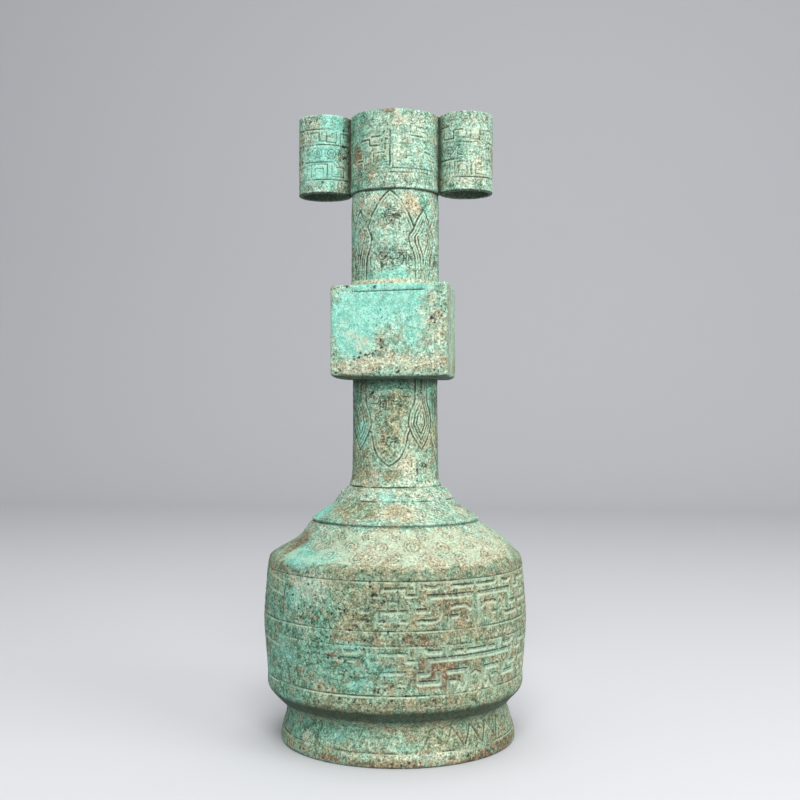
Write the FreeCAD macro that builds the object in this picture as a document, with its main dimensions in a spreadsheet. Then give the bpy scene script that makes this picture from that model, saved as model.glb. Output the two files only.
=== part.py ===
"""Bronze arrow vase, cast in one piece: foot, round body, long neck with a square block, mouth collar and two ear tubes.

The vase stands on its foot with +Z up and the origin at the centre of the foot's underside. The front of the block
faces -Y and the ears lie on the X axis. All lengths are millimetres and all angles degrees.
"""
import FreeCAD, Part
import Sketcher
import math
import os

Vector = FreeCAD.Vector
UP = Vector(0, 0, 1)
ORIGIN = Vector(0, 0, 0)

# Driving sizes: alias, value, meaning
SIZES = [
    ("foot_lip_radius", 56.6, "radius of the plain lip that the vase stands on"),
    ("foot_lip_height", 6.4, "height of that lip"),
    ("foot_lip_taper", 0.7, "how much the lip draws in at its top"),
    ("foot_height", 17.0, "floor to the narrowest part of the foot"),
    ("foot_flare", 3.6, "how far the lip stands out from the foot's neck"),
    ("foot_waist", 0.3, "depth of the foot's hollow curve"),
    ("foot_hollow", 16.0, "depth of the hollow under the floor of the vase"),
    ("floor_thickness", 2.6, "thickness of the floor of the vase"),
    ("base_rise", 11.0, "height of the sloping underside of the body"),
    ("base_edge_run", 1.3, "how far the bevelled bottom edge reaches in"),
    ("base_edge_rise", 3.0, "height of the bevelled bottom edge"),
    ("base_band_height", 5.2, "plain band under the lower fret"),
    ("lower_fret_height", 22.1, "height of the lower fret band"),
    ("middle_band_height", 6.5, "plain band between the two frets"),
    ("upper_fret_height", 21.5, "height of the upper fret band"),
    ("top_band_height", 4.7, "plain band above the upper fret"),
    ("belly_radius", 63.4, "widest radius of the body"),
    ("base_taper", 1.7, "how much the body draws in at its bottom"),
    ("top_taper", 1.6, "how much the body draws in at the top of the frets"),
    ("edge_taper", 1.0, "further draw in at the edge of the shoulder"),
    ("shoulder_rise", 16.9, "height of the shoulder's main slope"),
    ("ridge_height", 2.7, "height of the raised ring on the shoulder"),
    ("ridge_overhang", 1.5, "how far that ring stands out"),
    ("ridge_setback", 1.0, "step back above that ring"),
    ("scroll_band_rise", 7.7, "height of the scroll band on the shoulder"),
    ("scroll_band_run", 10.0, "how far the scroll band slopes in"),
    ("bead_step_rise", 1.9, "height of the small step under the beaded band"),
    ("bead_step_run", 0.9, "how far that step leans in"),
    ("bead_band_rise", 6.2, "height of the beaded band"),
    ("bead_band_run", 6.2, "how far the beaded band slopes in"),
    ("neck_flare", 1.8, "spread of the neck where it meets the beaded band"),
    ("neck_flare_rise", 7.5, "height of that spread"),
    ("neck_flare_waist", 0.4, "depth of that spread's hollow curve"),
    ("lower_neck_height", 52.2, "beaded band to the underside of the block"),
    ("lower_neck_radius", 20.6, "radius of the neck below the block"),
    ("block_height", 43.4, "height of the square block"),
    ("block_width", 55.5, "width of each face of the block"),
    ("block_edge_round", 1.3, "rounding of the block's edges"),
    ("block_top_slope", 1.6, "angle by which the block's top slopes, its left end lower"),
    ("neck_seat", 1.1, "small flare of the neck where it leaves the block"),
    ("neck_seat_rise", 2.2, "height of that flare"),
    ("upper_neck_height", 45.3, "top of the block to the mouth collar"),
    ("upper_neck_radius", 21.3, "radius of the neck above the block"),
    ("collar_undercut", 0.4, "how far the neck draws in just under the collar"),
    ("collar_undercut_height", 5.5, "height over which it draws in"),
    ("collar_height", 37.6, "height of the mouth collar"),
    ("collar_radius", 21.8, "radius of the mouth collar"),
    ("rim_bevel", 0.6, "bevel of the mouth's rim"),
    ("ear_radius", 12.9, "outer radius of each ear tube"),
    ("ear_wall", 1.8, "wall of each ear tube"),
    ("ear_height", 38.0, "height of each ear tube, flush with the mouth"),
    ("ear_offset", 34.5, "distance of each ear's centre line from the vase's"),
    ("ear_web_width", 9.0, "width of the web that joins an ear to the collar"),
    ("wall", 2.3, "wall of the casting"),
    ("line_depth", 0.55, "depth of the incised rings, and half their width"),
    ("ridge_line_depth", 0.9, "depth of the ring cut under the shoulder's raised ring"),
    ("collar_top_line", 8.4, "mouth down to the collar's upper ring"),
    ("collar_foot_line", 9.4, "bottom of the collar up to the higher of its lower rings"),
    ("collar_foot_gap", 1.9, "distance between the collar's two lower rings"),
    ("ear_line_depth", 0.4, "depth of the rings on the ears, and half their width"),
    ("ear_line_first", 7.2, "mouth down to the first ring on each ear"),
    ("ear_line_pitch", 8.0, "spacing of the rings on each ear"),
    ("fret_line_width", 1.25, "width of the fret's narrow channels"),
    ("fret_depth", 0.6, "depth of the fret's channels"),
    ("fret_turn", 5.65, "angle of the fret's mirror line from the front of the block"),
    ("leaf_line_width", 0.9, "width of the leaves' outlines"),
    ("leaf_line_depth", 0.45, "depth of the leaves' outlines"),
    ("bead_radius", 1.2, "radius of the beads on the shoulder"),
    ("bead_crown", 0.3, "radius of each bead's worn top"),
    ("bead_stand", 0.75, "how far each bead stands out of the band"),
    ("bead_pitch", 6.4, "spacing of the beads along their ring"),
]

EAR_LINES = 4
BEAD_SIDES = 6

# The fret repeats a half unit by mirroring. Levels are parts of the band's height and columns are parts of the
# half unit, from one mirror line at 0 to the next at 1.
FRET_UNITS = 5
LEVEL = {
    "floor": 0.0, "hook": 0.21, "block": 0.395, "arch": 0.465, "moat": 0.68, "step": 0.71, "divider": 0.80,
    "bar": 0.86, "roof": 1.0,
}
COLUMN = {
    "axis": 0.0, "block": 0.155, "drop": 0.265, "foot": 0.275, "lens": 0.37, "moat": 0.41, "lens_end": 0.535,
    "hook": 0.54, "divider": 0.605, "bar": 0.69, "arch": 0.70, "arch_end": 0.91, "bar_end": 0.96, "edge": 1.0,
}
# Upright channels: column, lower level, upper level
UPRIGHTS = [
    ("axis", "bar", "roof"),
    ("block", "step", "bar"),
    ("drop", "step", "roof"),
    ("divider", "divider", "roof"),
    ("moat", "block", "moat"),
    ("edge", "floor", "moat"),
    ("hook", "hook", "arch"),
    ("block", "hook", "block"),
]
# Level channels: first column, last column, level
RUNS = [
    ("axis", "block", "bar"),
    ("block", "drop", "step"),
    ("lens", "lens_end", "bar"),
    ("bar", "bar_end", "bar"),
    ("moat", "edge", "moat"),
    ("foot", "moat", "block"),
    ("foot", "hook", "hook"),
    ("axis", "block", "block"),
    ("arch", "arch_end", "arch"),
]

# One side of a leaf, from its tip towards the block: sideways distance and distance from the block's face
LARGE_LEAF_UP = {"tip": 44.4, "side": (5.0, 39.9), "shoulder": (10.6, 28.9), "tuck": (14.3, 20.0)}
LARGE_LEAF_DOWN = {"tip": 42.2, "side": (5.2, 38.2), "shoulder": (8.9, 27.5), "tuck": (13.6, 19.0)}
SMALL_LEAF_UP = {"tip": 35.9, "corner": (7.5, 22.9), "side": (6.6, 17.6), "waist": (4.6, 12.9)}
SMALL_LEAF_DOWN = {"tip": 34.7, "corner": (7.0, 23.0), "side": (6.1, 17.0), "waist": (3.9, 11.5)}
LEAF_ROOT = 3.2


doc = FreeCAD.newDocument("arrow_vase")
sheet = doc.addObject("Spreadsheet::Sheet", "Sizes")
for row, (alias, value, meaning) in enumerate(SIZES, start=1):
    sheet.set("A%d" % row, alias.replace("_", " "))
    sheet.set("B%d" % row, str(value))
    sheet.set("C%d" % row, meaning)
    sheet.setAlias("B%d" % row, alias)
doc.recompute()


def total(*aliases):
    """Expression for the sum of the named sizes."""
    return " + ".join("Sizes." + alias for alias in aliases)


def value_of(expression):
    """Number that an expression of sizes gives now, a sheet's alias or a sum of them."""
    return float(sheet.evalExpression(expression))


def size(alias):
    """Number in the named cell."""
    return float(sheet.get(alias))


# Levels of the turned outline, from the floor up
LIP = total("foot_lip_height")
FOOT = total("foot_height")
BASE = FOOT + " + " + total("base_rise")
LOWER_FRET = BASE + " + " + total("base_band_height")
MIDDLE = LOWER_FRET + " + " + total("lower_fret_height")
UPPER_FRET = MIDDLE + " + " + total("middle_band_height")
TOP_BAND = UPPER_FRET + " + " + total("upper_fret_height")
SHOULDER = TOP_BAND + " + " + total("top_band_height")
RIDGE = SHOULDER + " + " + total("shoulder_rise")
SCROLLS = RIDGE + " + " + total("ridge_height")
BEADS = SCROLLS + " + " + total("scroll_band_rise")
STEP = BEADS + " - " + total("bead_step_rise")
NECK = BEADS + " + " + total("bead_band_rise")
BLOCK = NECK + " + " + total("lower_neck_height")
BLOCK_TOP = BLOCK + " + " + total("block_height")
COLLAR = BLOCK_TOP + " + " + total("upper_neck_height")
MOUTH = COLLAR + " + " + total("collar_height")

# Radii of the turned outline
LIP_TOP_R = "Sizes.foot_lip_radius - Sizes.foot_lip_taper"
FOOT_NECK_R = "Sizes.foot_lip_radius - Sizes.foot_flare"
BASE_R = "Sizes.belly_radius - Sizes.base_taper"
BELLY_R = total("belly_radius")
TOP_BAND_R = "Sizes.belly_radius - Sizes.top_taper"
SHOULDER_R = TOP_BAND_R + " - Sizes.edge_taper"
NECK_R = total("lower_neck_radius", "neck_flare")
BEADS_R = NECK_R + " + " + total("bead_band_run")
STEP_R = BEADS_R + " + " + total("bead_step_run")
SCROLLS_R = BEADS_R + " + " + total("scroll_band_run")
RIDGE_SEAT_R = SCROLLS_R + " + " + total("ridge_setback")
RIDGE_R = RIDGE_SEAT_R + " + " + total("ridge_overhang")
BORE_R = "Sizes.upper_neck_radius - Sizes.wall"


def level_wall(run, rise):
    """Expression for the wall of a slope measured level, from the slope's run and rise."""
    return "Sizes.wall * sqrt((%s)^2 + (%s)^2) / (%s)" % (run, rise, rise)


def bind(sketch, kind, edge, end, value, expression):
    """Ties one coordinate of an edge's end to an expression, or puts the end on the axis where it is zero."""
    if expression == "0":
        axis = -2 if kind == "DistanceX" else -1
        sketch.addConstraint(Sketcher.Constraint("PointOnObject", edge, end, axis))
        return
    index = sketch.addConstraint(Sketcher.Constraint(kind, -1, 1, edge, end, value))
    sketch.setExpression("Constraints[%d]" % index, expression)


def outline_sketch(name, loops):
    """Upright sketch in the XZ plane of closed loops, each corner (across, up) bound to the sheet."""
    sketch = doc.addObject("Sketcher::SketchObject", name)
    sketch.Placement = FreeCAD.Placement(ORIGIN, FreeCAD.Rotation(Vector(1, 0, 0), 90))
    for corners in loops:
        points = [Vector(value_of(across), value_of(up), 0) for across, up in corners]
        first = sketch.GeometryCount
        for a, b in zip(points, points[1:] + points[:1]):
            sketch.addGeometry(Part.LineSegment(a, b))
        for i, (across, up) in enumerate(corners):
            after = (i + 1) % len(corners)
            sketch.addConstraint(Sketcher.Constraint("Coincident", first + i, 2, first + after, 1))
            bind(sketch, "DistanceX", first + i, 1, points[i].x, across)
            bind(sketch, "DistanceY", first + i, 1, points[i].y, up)
    return sketch


def turned(name, loops):
    """Solid turned about the vase's axis from an outline of sketched loops."""
    sketch = outline_sketch(name + "_outline", loops)
    solid = doc.addObject("Part::Revolution", name)
    solid.Source = sketch
    solid.Axis = UP
    solid.Base = ORIGIN
    solid.Angle = 360
    solid.Solid = True
    return solid


def boolean(kind, name, base, tool):
    """Part::Cut, Part::Common or Part::Fuse of two objects."""
    result = doc.addObject("Part::" + kind, name)
    result.Base = base
    result.Tool = tool
    return result


def fused(name, *objects):
    """Part::MultiFuse of several objects."""
    result = doc.addObject("Part::MultiFuse", name)
    result.Shapes = list(objects)
    return result


def shaped(name, shape):
    """Part::Feature that holds a shape worked out from the sheet's sizes."""
    feature = doc.addObject("Part::Feature", name)
    feature.Shape = shape
    return feature


def ring_line(radius, level, depth="Sizes.line_depth"):
    """Square loop set on its corner, whose turned form cuts a V-shaped ring where its middle lies."""
    return [
        ("%s - %s" % (radius, depth), level),
        (radius, "%s - %s" % (level, depth)),
        ("%s + %s" % (radius, depth), level),
        (radius, "%s + %s" % (level, depth)),
    ]


def turned_form():
    """Foot, body, shoulder, neck and collar as one solid of revolution, with a plain neck through the block."""
    outline = [
        ("0", "0"),
        ("Sizes.foot_lip_radius", "0"),
        ("Sizes.foot_lip_radius", "0.4 * Sizes.foot_lip_height"),
        (LIP_TOP_R, LIP),
        ("0.5 * (%s + %s) - Sizes.foot_waist" % (LIP_TOP_R, FOOT_NECK_R), "0.5 * (%s + %s)" % (LIP, FOOT)),
        (FOOT_NECK_R, FOOT),
        (BASE_R + " - Sizes.base_edge_run", BASE + " - Sizes.base_edge_rise"),
        (BASE_R, BASE),
        (BASE_R, LOWER_FRET),
        (BELLY_R, MIDDLE),
        (BELLY_R, UPPER_FRET),
        (TOP_BAND_R, TOP_BAND),
        (SHOULDER_R, SHOULDER),
        (RIDGE_SEAT_R, RIDGE),
        (RIDGE_R, RIDGE + " + 0.4 * Sizes.ridge_height"),
        (SCROLLS_R, SCROLLS),
        (STEP_R, STEP),
        (BEADS_R, BEADS),
        (NECK_R, NECK),
        (NECK_R + " - 0.5 * Sizes.neck_flare - Sizes.neck_flare_waist", NECK + " + 0.5 * Sizes.neck_flare_rise"),
        ("Sizes.lower_neck_radius", NECK + " + Sizes.neck_flare_rise"),
        ("Sizes.lower_neck_radius", BLOCK + " + 0.5 * Sizes.block_height"),
        ("Sizes.upper_neck_radius + Sizes.neck_seat", BLOCK + " + 0.5 * Sizes.block_height"),
        ("Sizes.upper_neck_radius + Sizes.neck_seat", BLOCK_TOP),
        ("Sizes.upper_neck_radius", BLOCK_TOP + " + Sizes.neck_seat_rise"),
        ("Sizes.upper_neck_radius", COLLAR + " - Sizes.collar_undercut_height"),
        ("Sizes.upper_neck_radius - Sizes.collar_undercut", COLLAR + " - 0.4 * Sizes.collar_undercut_height"),
        ("Sizes.upper_neck_radius - Sizes.collar_undercut", COLLAR),
        ("Sizes.collar_radius", COLLAR),
        ("Sizes.collar_radius", MOUTH + " - Sizes.rim_bevel"),
        ("Sizes.collar_radius - Sizes.rim_bevel", MOUTH),
        ("0", MOUTH),
    ]
    return turned("turned_form", [outline])


def ring_lines():
    """Incised rings of the foot, the body's bands, the shoulder and the collar."""
    return turned("ring_lines", [
        ring_line(LIP_TOP_R, LIP),
        ring_line(BASE_R, LOWER_FRET),
        ring_line(BELLY_R, MIDDLE),
        ring_line(BELLY_R, UPPER_FRET),
        ring_line(TOP_BAND_R, TOP_BAND),
        ring_line(RIDGE_SEAT_R, RIDGE, "Sizes.ridge_line_depth"),
        ring_line(BEADS_R, BEADS),
        ring_line(NECK_R, NECK),
        ring_line("Sizes.collar_radius", COLLAR + " + Sizes.collar_foot_line"),
        ring_line("Sizes.collar_radius", COLLAR + " + Sizes.collar_foot_line - Sizes.collar_foot_gap"),
        ring_line("Sizes.collar_radius", MOUTH + " - Sizes.collar_top_line"),
    ])


def hollow_form():
    """Space inside the casting, apart from the block's chamber: body, shoulder and neck, open at the mouth."""
    shoulder_run = "(%s - (%s))" % (SHOULDER_R, RIDGE_SEAT_R)
    shoulder_slope = "sqrt(%s^2 + Sizes.shoulder_rise^2)" % shoulder_run
    shoulder_drop = "Sizes.wall * (%s - Sizes.shoulder_rise) / %s" % (shoulder_slope, shoulder_run)
    scroll_wall = level_wall(
        "(Sizes.scroll_band_run - Sizes.bead_step_run)", "(Sizes.scroll_band_rise - Sizes.bead_step_rise)")
    bead_wall = level_wall("Sizes.bead_band_run", "Sizes.bead_band_rise")
    outline = [
        ("0", total("foot_hollow", "floor_thickness")),
        (FOOT_NECK_R + " - 0.7 * Sizes.wall", total("foot_hollow", "floor_thickness")),
        (BASE_R + " - Sizes.wall", BASE),
        (BELLY_R + " - Sizes.wall", MIDDLE),
        (BELLY_R + " - Sizes.wall", UPPER_FRET),
        (TOP_BAND_R + " - Sizes.wall", TOP_BAND),
        (SHOULDER_R + " - Sizes.wall", SHOULDER + " - " + shoulder_drop),
        (RIDGE_SEAT_R + " - " + level_wall(shoulder_run, "Sizes.shoulder_rise"), RIDGE),
        (SCROLLS_R + " - " + scroll_wall, SCROLLS),
        (STEP_R + " - " + scroll_wall, STEP),
        (BEADS_R + " - " + bead_wall, BEADS),
        (NECK_R + " - " + bead_wall, NECK),
        ("Sizes.lower_neck_radius - Sizes.wall", NECK + " + Sizes.neck_flare_rise"),
        ("Sizes.lower_neck_radius - Sizes.wall", BLOCK + " + 0.5 * Sizes.block_height"),
        (BORE_R, BLOCK + " + 0.5 * Sizes.block_height"),
        (BORE_R, MOUTH + " + Sizes.rim_bevel"),
        ("0", MOUTH + " + Sizes.rim_bevel"),
    ]
    return turned("hollow_form", [outline])


def foot_hollow():
    """Hollow under the floor, inside the ring of the foot."""
    outline = [
        ("0", "-Sizes.rim_bevel"),
        (LIP_TOP_R + " - Sizes.wall", "-Sizes.rim_bevel"),
        (LIP_TOP_R + " - Sizes.wall", LIP),
        (FOOT_NECK_R + " - Sizes.wall", "Sizes.foot_hollow"),
        ("0", "Sizes.foot_hollow"),
    ]
    return turned("foot_hollow_form", [outline])


def sloping_box(name, width, height, bottom):
    """Upright square box centred on the axis, whose top slopes up towards +X by the block's slope.

    The wedge has its height along its own X and its length along its own Y, and is turned upright.
    """
    box = doc.addObject("Part::Wedge", name)
    drop = "0.5 * (%s) * tan(Sizes.block_top_slope * 1 deg)" % width
    for low in ("Xmin", "Ymin", "Zmin", "X2min", "Z2min"):
        setattr(box, low, 0)
    for high in ("Ymax", "Zmax", "Z2max"):
        box.setExpression(high, width)
    box.setExpression("Xmax", "%s - %s" % (height, drop))
    box.setExpression("X2max", "%s + %s" % (height, drop))
    box.Placement = FreeCAD.Placement(ORIGIN, FreeCAD.Rotation(Vector(1, 1, 1), 240))
    box.setExpression("Placement.Base.x", "-0.5 * (%s)" % width)
    box.setExpression("Placement.Base.y", "-0.5 * (%s)" % width)
    box.setExpression("Placement.Base.z", bottom)
    return box


def rounded(name, base, radius):
    """Part::Fillet of every edge of a box."""
    fillet = doc.addObject("Part::Fillet", name)
    fillet.Base = base
    fillet.Edges = [(edge, size(radius), size(radius)) for edge in range(1, 13)]
    return fillet


def block():
    """Square block round the neck, its edges rounded."""
    box = sloping_box("block_box", "Sizes.block_width", "Sizes.block_height", BLOCK)
    return rounded("block", box, "block_edge_round")


def chamber():
    """Hollow of the block, open to the neck."""
    return sloping_box(
        "chamber", "(Sizes.block_width - 2 * Sizes.wall)", "(Sizes.block_height - 2 * Sizes.wall)", BLOCK + " + Sizes.wall")


def upright_cylinder(name, radius, height, bottom, across):
    """Part::Cylinder that stands at a distance along X."""
    cylinder = doc.addObject("Part::Cylinder", name)
    cylinder.setExpression("Radius", radius)
    cylinder.setExpression("Height", height)
    cylinder.setExpression("Placement.Base.x", across)
    cylinder.setExpression("Placement.Base.z", bottom)
    return cylinder


def ear(side, hand):
    """One ear tube, still solid, with its incised rings; hand is 1 at +X and -1 at -X."""
    across = "%d * Sizes.ear_offset" % hand
    tube = upright_cylinder(side + "_ear_tube", "Sizes.ear_radius", "Sizes.ear_height", MOUTH + " - Sizes.ear_height", across)
    lines = [
        ring_line("Sizes.ear_radius", "%s - Sizes.ear_line_first - %d * Sizes.ear_line_pitch" % (MOUTH, i), "Sizes.ear_line_depth")
        for i in range(EAR_LINES)
    ]
    rings = turned(side + "_ear_lines", lines)
    rings.setExpression("Placement.Base.x", across)
    return boolean("Cut", side + "_ear", tube, rings)


def ear_bore(side, hand):
    """Bore right through one ear tube."""
    return upright_cylinder(
        side + "_ear_bore", "Sizes.ear_radius - Sizes.ear_wall", "Sizes.ear_height + 2 * Sizes.rim_bevel",
        MOUTH + " - Sizes.ear_height - Sizes.rim_bevel", "%d * Sizes.ear_offset" % hand)


def ear_web():
    """Web between the two ears, through the collar, which joins them to it."""
    web = doc.addObject("Part::Box", "ear_web")
    web.setExpression("Length", "2 * Sizes.ear_offset")
    web.setExpression("Width", "Sizes.ear_web_width")
    web.setExpression("Height", "Sizes.ear_height - 2 * Sizes.rim_bevel")
    web.setExpression("Placement.Base.x", "-Sizes.ear_offset")
    web.setExpression("Placement.Base.y", "-0.5 * Sizes.ear_web_width")
    web.setExpression("Placement.Base.z", MOUTH + " - Sizes.ear_height + Sizes.rim_bevel")
    return web


def turn(shape, degrees):
    """Copy of a shape turned about the vase's axis."""
    return shape.rotated(ORIGIN, UP, degrees)


def turned_quad(corners, start, end):
    """Solid swept by a flat four-cornered section, (radius, level) each, between two angles from the front (-Y)."""
    section = Part.Face(Part.makePolygon([Vector(radius, 0, level) for radius, level in corners + corners[:1]]))
    return turn(section, start - 90).revolve(ORIGIN, UP, end - start)


def sector(inner, outer, low, high, start, end):
    """Piece of a level ring between two radii, two levels and two angles measured from the front (-Y)."""
    return turned_quad([(inner, low), (outer, low), (outer, high), (inner, high)], start, end)


def fret_band(bottom, top, bottom_radius, top_radius):
    """Channels of one fret band, all round the body."""
    low, high = value_of(bottom), value_of(top)
    low_radius, high_radius = value_of(bottom_radius), value_of(top_radius)
    depth = size("fret_depth")
    reach = min(low_radius, high_radius) - 2 * depth, max(low_radius, high_radius) + 2 * depth
    half_unit = 180.0 / FRET_UNITS
    half_width = size("fret_line_width") / 2
    half_turn = math.degrees(half_width / low_radius)
    pieces = []
    for column, first, last in UPRIGHTS:
        middle = COLUMN[column] * half_unit
        level_from = low if first == "floor" else low + LEVEL[first] * (high - low) - half_width
        level_to = high if last == "roof" else low + LEVEL[last] * (high - low) + half_width
        sides = [middle] if column in ("axis", "edge") else [middle, -middle]
        pieces += [sector(*reach, level_from, level_to, side - half_turn, side + half_turn) for side in sides]
    for first, last, row in RUNS:
        level = low + LEVEL[row] * (high - low)
        start = COLUMN[first] * half_unit - half_turn
        end = COLUMN[last] * half_unit + (0 if last == "edge" else half_turn)
        spans = [(-end, end)] if first == "axis" else [(start, end), (-end, -start)]
        pieces += [sector(*reach, level - half_width, level + half_width, *span) for span in spans]
    unit = pieces[0].multiFuse(pieces[1:]).removeSplitter()
    units = [turn(unit, size("fret_turn") + i * 2 * half_unit) for i in range(FRET_UNITS)]
    network = units[0].multiFuse(units[1:]).removeSplitter()
    layer = turned_quad([
        (low_radius - depth, low), (low_radius + depth, low), (high_radius + depth, high), (high_radius - depth, high),
    ], 0, 360)
    return network.common(layer)


def leaf_outline(leaf, sign):
    """Closed edge line of a leaf in the XZ plane, its root at the block's face; sign is 1 up and -1 down."""
    def at(point, hand):
        return Vector(hand * point[0], 0, sign * point[1])

    tip = Vector(0, 0, sign * leaf["tip"])
    edges = []
    ends = []
    for hand in (1, -1):
        if "shoulder" in leaf:
            bend = Part.Arc(tip, at(leaf["side"], hand), at(leaf["shoulder"], hand)).toShape()
            lines = [leaf["shoulder"], leaf["tuck"]]
        else:
            edges.append(Part.makeLine(tip, at(leaf["corner"], hand)))
            bend = Part.Arc(at(leaf["corner"], hand), at(leaf["side"], hand), at(leaf["waist"], hand)).toShape()
            lines = [leaf["waist"]]
        lines.append((lines[-1][0], LEAF_ROOT))
        edges.append(bend)
        edges += [Part.makeLine(at(a, hand), at(b, hand)) for a, b in zip(lines, lines[1:])]
        ends.append(at(lines[-1], hand))
    edges.append(Part.makeLine(*ends))
    return Part.Wire(Part.__sortEdges__(edges))


def leaf_lines(radius, face_level, large, small, sign):
    """Outlines of four large and four small leaves round a neck, as a thin layer of its wall."""
    reach = radius + size("leaf_line_depth")

    def prism(wire):
        return Part.Face(wire).extrude(Vector(0, -reach, 0))

    def outline(wire):
        return prism(wire).cut(prism(wire.makeOffset2D(-size("leaf_line_width"))))

    small_wire = leaf_outline(small, sign)
    small_solid = prism(small_wire)
    large_line = outline(leaf_outline(large, sign))
    large_line = large_line.cut([turn(small_solid, 45), turn(small_solid, -45)])
    small_line = turn(outline(small_wire), 45)
    lines = Part.makeCompound([turn(line, 90 * i) for line in (large_line, small_line) for i in range(4)])
    lines.translate(Vector(0, 0, face_level))
    height = max(large["tip"], small["tip"])
    base = Vector(0, 0, face_level if sign > 0 else face_level - height)
    layer = Part.makeCylinder(reach, height, base).cut(
        Part.makeCylinder(radius - size("leaf_line_depth"), height, base))
    return lines.common(layer)


def beads():
    """Row of beads round the beaded band."""
    run, rise = size("bead_band_run"), size("bead_band_rise")
    sunk = size("bead_stand")
    slope = math.hypot(run, rise)
    radius = value_of(BEADS_R) - run / 2 - sunk * rise / slope
    level = value_of(BEADS) + rise / 2 - sunk * run / slope
    count = round(2 * math.pi * radius / size("bead_pitch"))
    across = Vector(1, 0, 0)
    along = Vector(0, run, rise).normalize()
    outward = Vector(0, -rise, run).normalize()
    seat = Vector(0, -radius, level)

    def ring(reach, stand):
        corners = [math.radians(360.0 * i / BEAD_SIDES) for i in range(BEAD_SIDES + 1)]
        return Part.makePolygon([
            seat + outward * stand + across * (reach * math.cos(a)) + along * (reach * math.sin(a)) for a in corners])

    bead = Part.makeLoft([ring(size("bead_radius"), 0), ring(size("bead_crown"), size("bead_stand") + sunk)], True, True)
    return Part.makeCompound([turn(bead, 360.0 * i / count) for i in range(count)])


def failed_objects():
    """Names of the document's objects that didn't work out."""
    return [item.Name for item in doc.Objects if {"Invalid", "Error"} & set(item.State)]


form = turned_form()
lines = ring_lines()
doc.recompute()
ringed = boolean("Cut", "ringed_form", form, lines)
solid = fused("solid_form", ringed, block(), ear_web(), ear("left", -1), ear("right", 1))
spaces = fused("spaces", hollow_form(), foot_hollow(), chamber(), ear_bore("left", -1), ear_bore("right", 1))
plain = boolean("Cut", "plain_casting", solid, spaces)
beaded = boolean("Fuse", "beaded_casting", plain, shaped("beads", beads()))
carving = doc.addObject("Part::Compound", "carving")
carving.Links = [
    shaped("lower_fret", fret_band(LOWER_FRET, MIDDLE, BASE_R, BELLY_R)),
    shaped("upper_fret", fret_band(UPPER_FRET, TOP_BAND, BELLY_R, TOP_BAND_R)),
    shaped("upper_leaves", leaf_lines(
        size("upper_neck_radius"), value_of(BLOCK_TOP), LARGE_LEAF_UP, SMALL_LEAF_UP, 1)),
    shaped("lower_leaves", leaf_lines(
        size("lower_neck_radius"), value_of(BLOCK), LARGE_LEAF_DOWN, SMALL_LEAF_DOWN, -1)),
]
vase = boolean("Cut", "vase_casting", beaded, carving)
vase.Label = "vase_casting"
doc.recompute()

failures = failed_objects()
if failures:
    raise RuntimeError("these objects failed: " + ", ".join(failures))
shape = vase.Shape
if shape.isNull() or not shape.isValid() or len(shape.Solids) != 1:
    raise RuntimeError("vase_casting isn't one valid solid")
os.makedirs("parts", exist_ok=True)
shape.exportStep("parts/%s.step" % vase.Label)
print("vase_casting: %.1f cm3, height %.1f mm" % (shape.Volume / 1000, shape.BoundBox.ZLength))
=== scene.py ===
"""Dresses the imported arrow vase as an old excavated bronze, with carving, patina, floor and camera.

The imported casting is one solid. Its skin is rebuilt as closed grids, one for each band between two of the
vase's rings, so that every carved line, bead and pit is real relief. Lengths are millimetres until a mesh is
made. Angles are degrees round the vase from the front of the block (-Y) towards the right ear (+X).
"""
from __future__ import annotations

import logging
import math
from dataclasses import dataclass
from enum import Enum

import bpy
import numpy as np
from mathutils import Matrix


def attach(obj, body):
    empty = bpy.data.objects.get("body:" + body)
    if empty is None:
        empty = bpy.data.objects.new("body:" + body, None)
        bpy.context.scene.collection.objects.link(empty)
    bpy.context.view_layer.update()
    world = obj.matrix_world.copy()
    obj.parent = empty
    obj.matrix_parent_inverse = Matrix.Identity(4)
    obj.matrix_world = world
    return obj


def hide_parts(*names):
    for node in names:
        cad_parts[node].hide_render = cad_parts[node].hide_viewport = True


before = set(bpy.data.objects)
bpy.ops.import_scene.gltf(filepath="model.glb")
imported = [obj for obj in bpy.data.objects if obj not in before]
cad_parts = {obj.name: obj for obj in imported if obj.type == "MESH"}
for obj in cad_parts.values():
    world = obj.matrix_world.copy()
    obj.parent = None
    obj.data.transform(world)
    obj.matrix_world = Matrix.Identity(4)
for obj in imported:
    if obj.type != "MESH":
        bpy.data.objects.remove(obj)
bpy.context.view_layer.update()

Array = np.ndarray
Colour = tuple[float, float, float]
Point = tuple[float, float]
Place = tuple[float, float, float]
MM = 0.001
NODE = "vase_casting"
ALL_ROUND = 1e6
log = logging.getLogger("vase")


@dataclass(frozen=True)
class Levels:
    """Heights of the vase's edges and rings above the floor."""

    lip: float = 6.4
    foot: float = 17.0
    base: float = 28.0
    lower_fret: float = 33.2
    middle: float = 55.3
    upper_fret: float = 61.8
    top_band: float = 83.3
    shoulder: float = 88.0
    ridge: float = 104.9
    scrolls: float = 107.6
    step: float = 113.4
    beads: float = 115.3
    neck: float = 121.5
    block: float = 173.7
    block_top: float = 217.1
    collar: float = 262.4
    mouth: float = 300.0


@dataclass(frozen=True)
class Radii:
    """Radii of the vase's outer face at its edges and rings."""

    lip: float = 56.6
    lip_top: float = 55.9
    foot: float = 53.0
    base: float = 61.7
    belly: float = 63.4
    top_band: float = 61.8
    shoulder: float = 60.8
    ridge: float = 40.7
    ridge_seat: float = 39.7
    scrolls: float = 37.9
    step: float = 29.2
    beads: float = 28.6
    neck: float = 22.4
    lower_neck: float = 20.6
    upper_neck: float = 21.3
    collar: float = 21.8
    ear: float = 12.9


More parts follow.
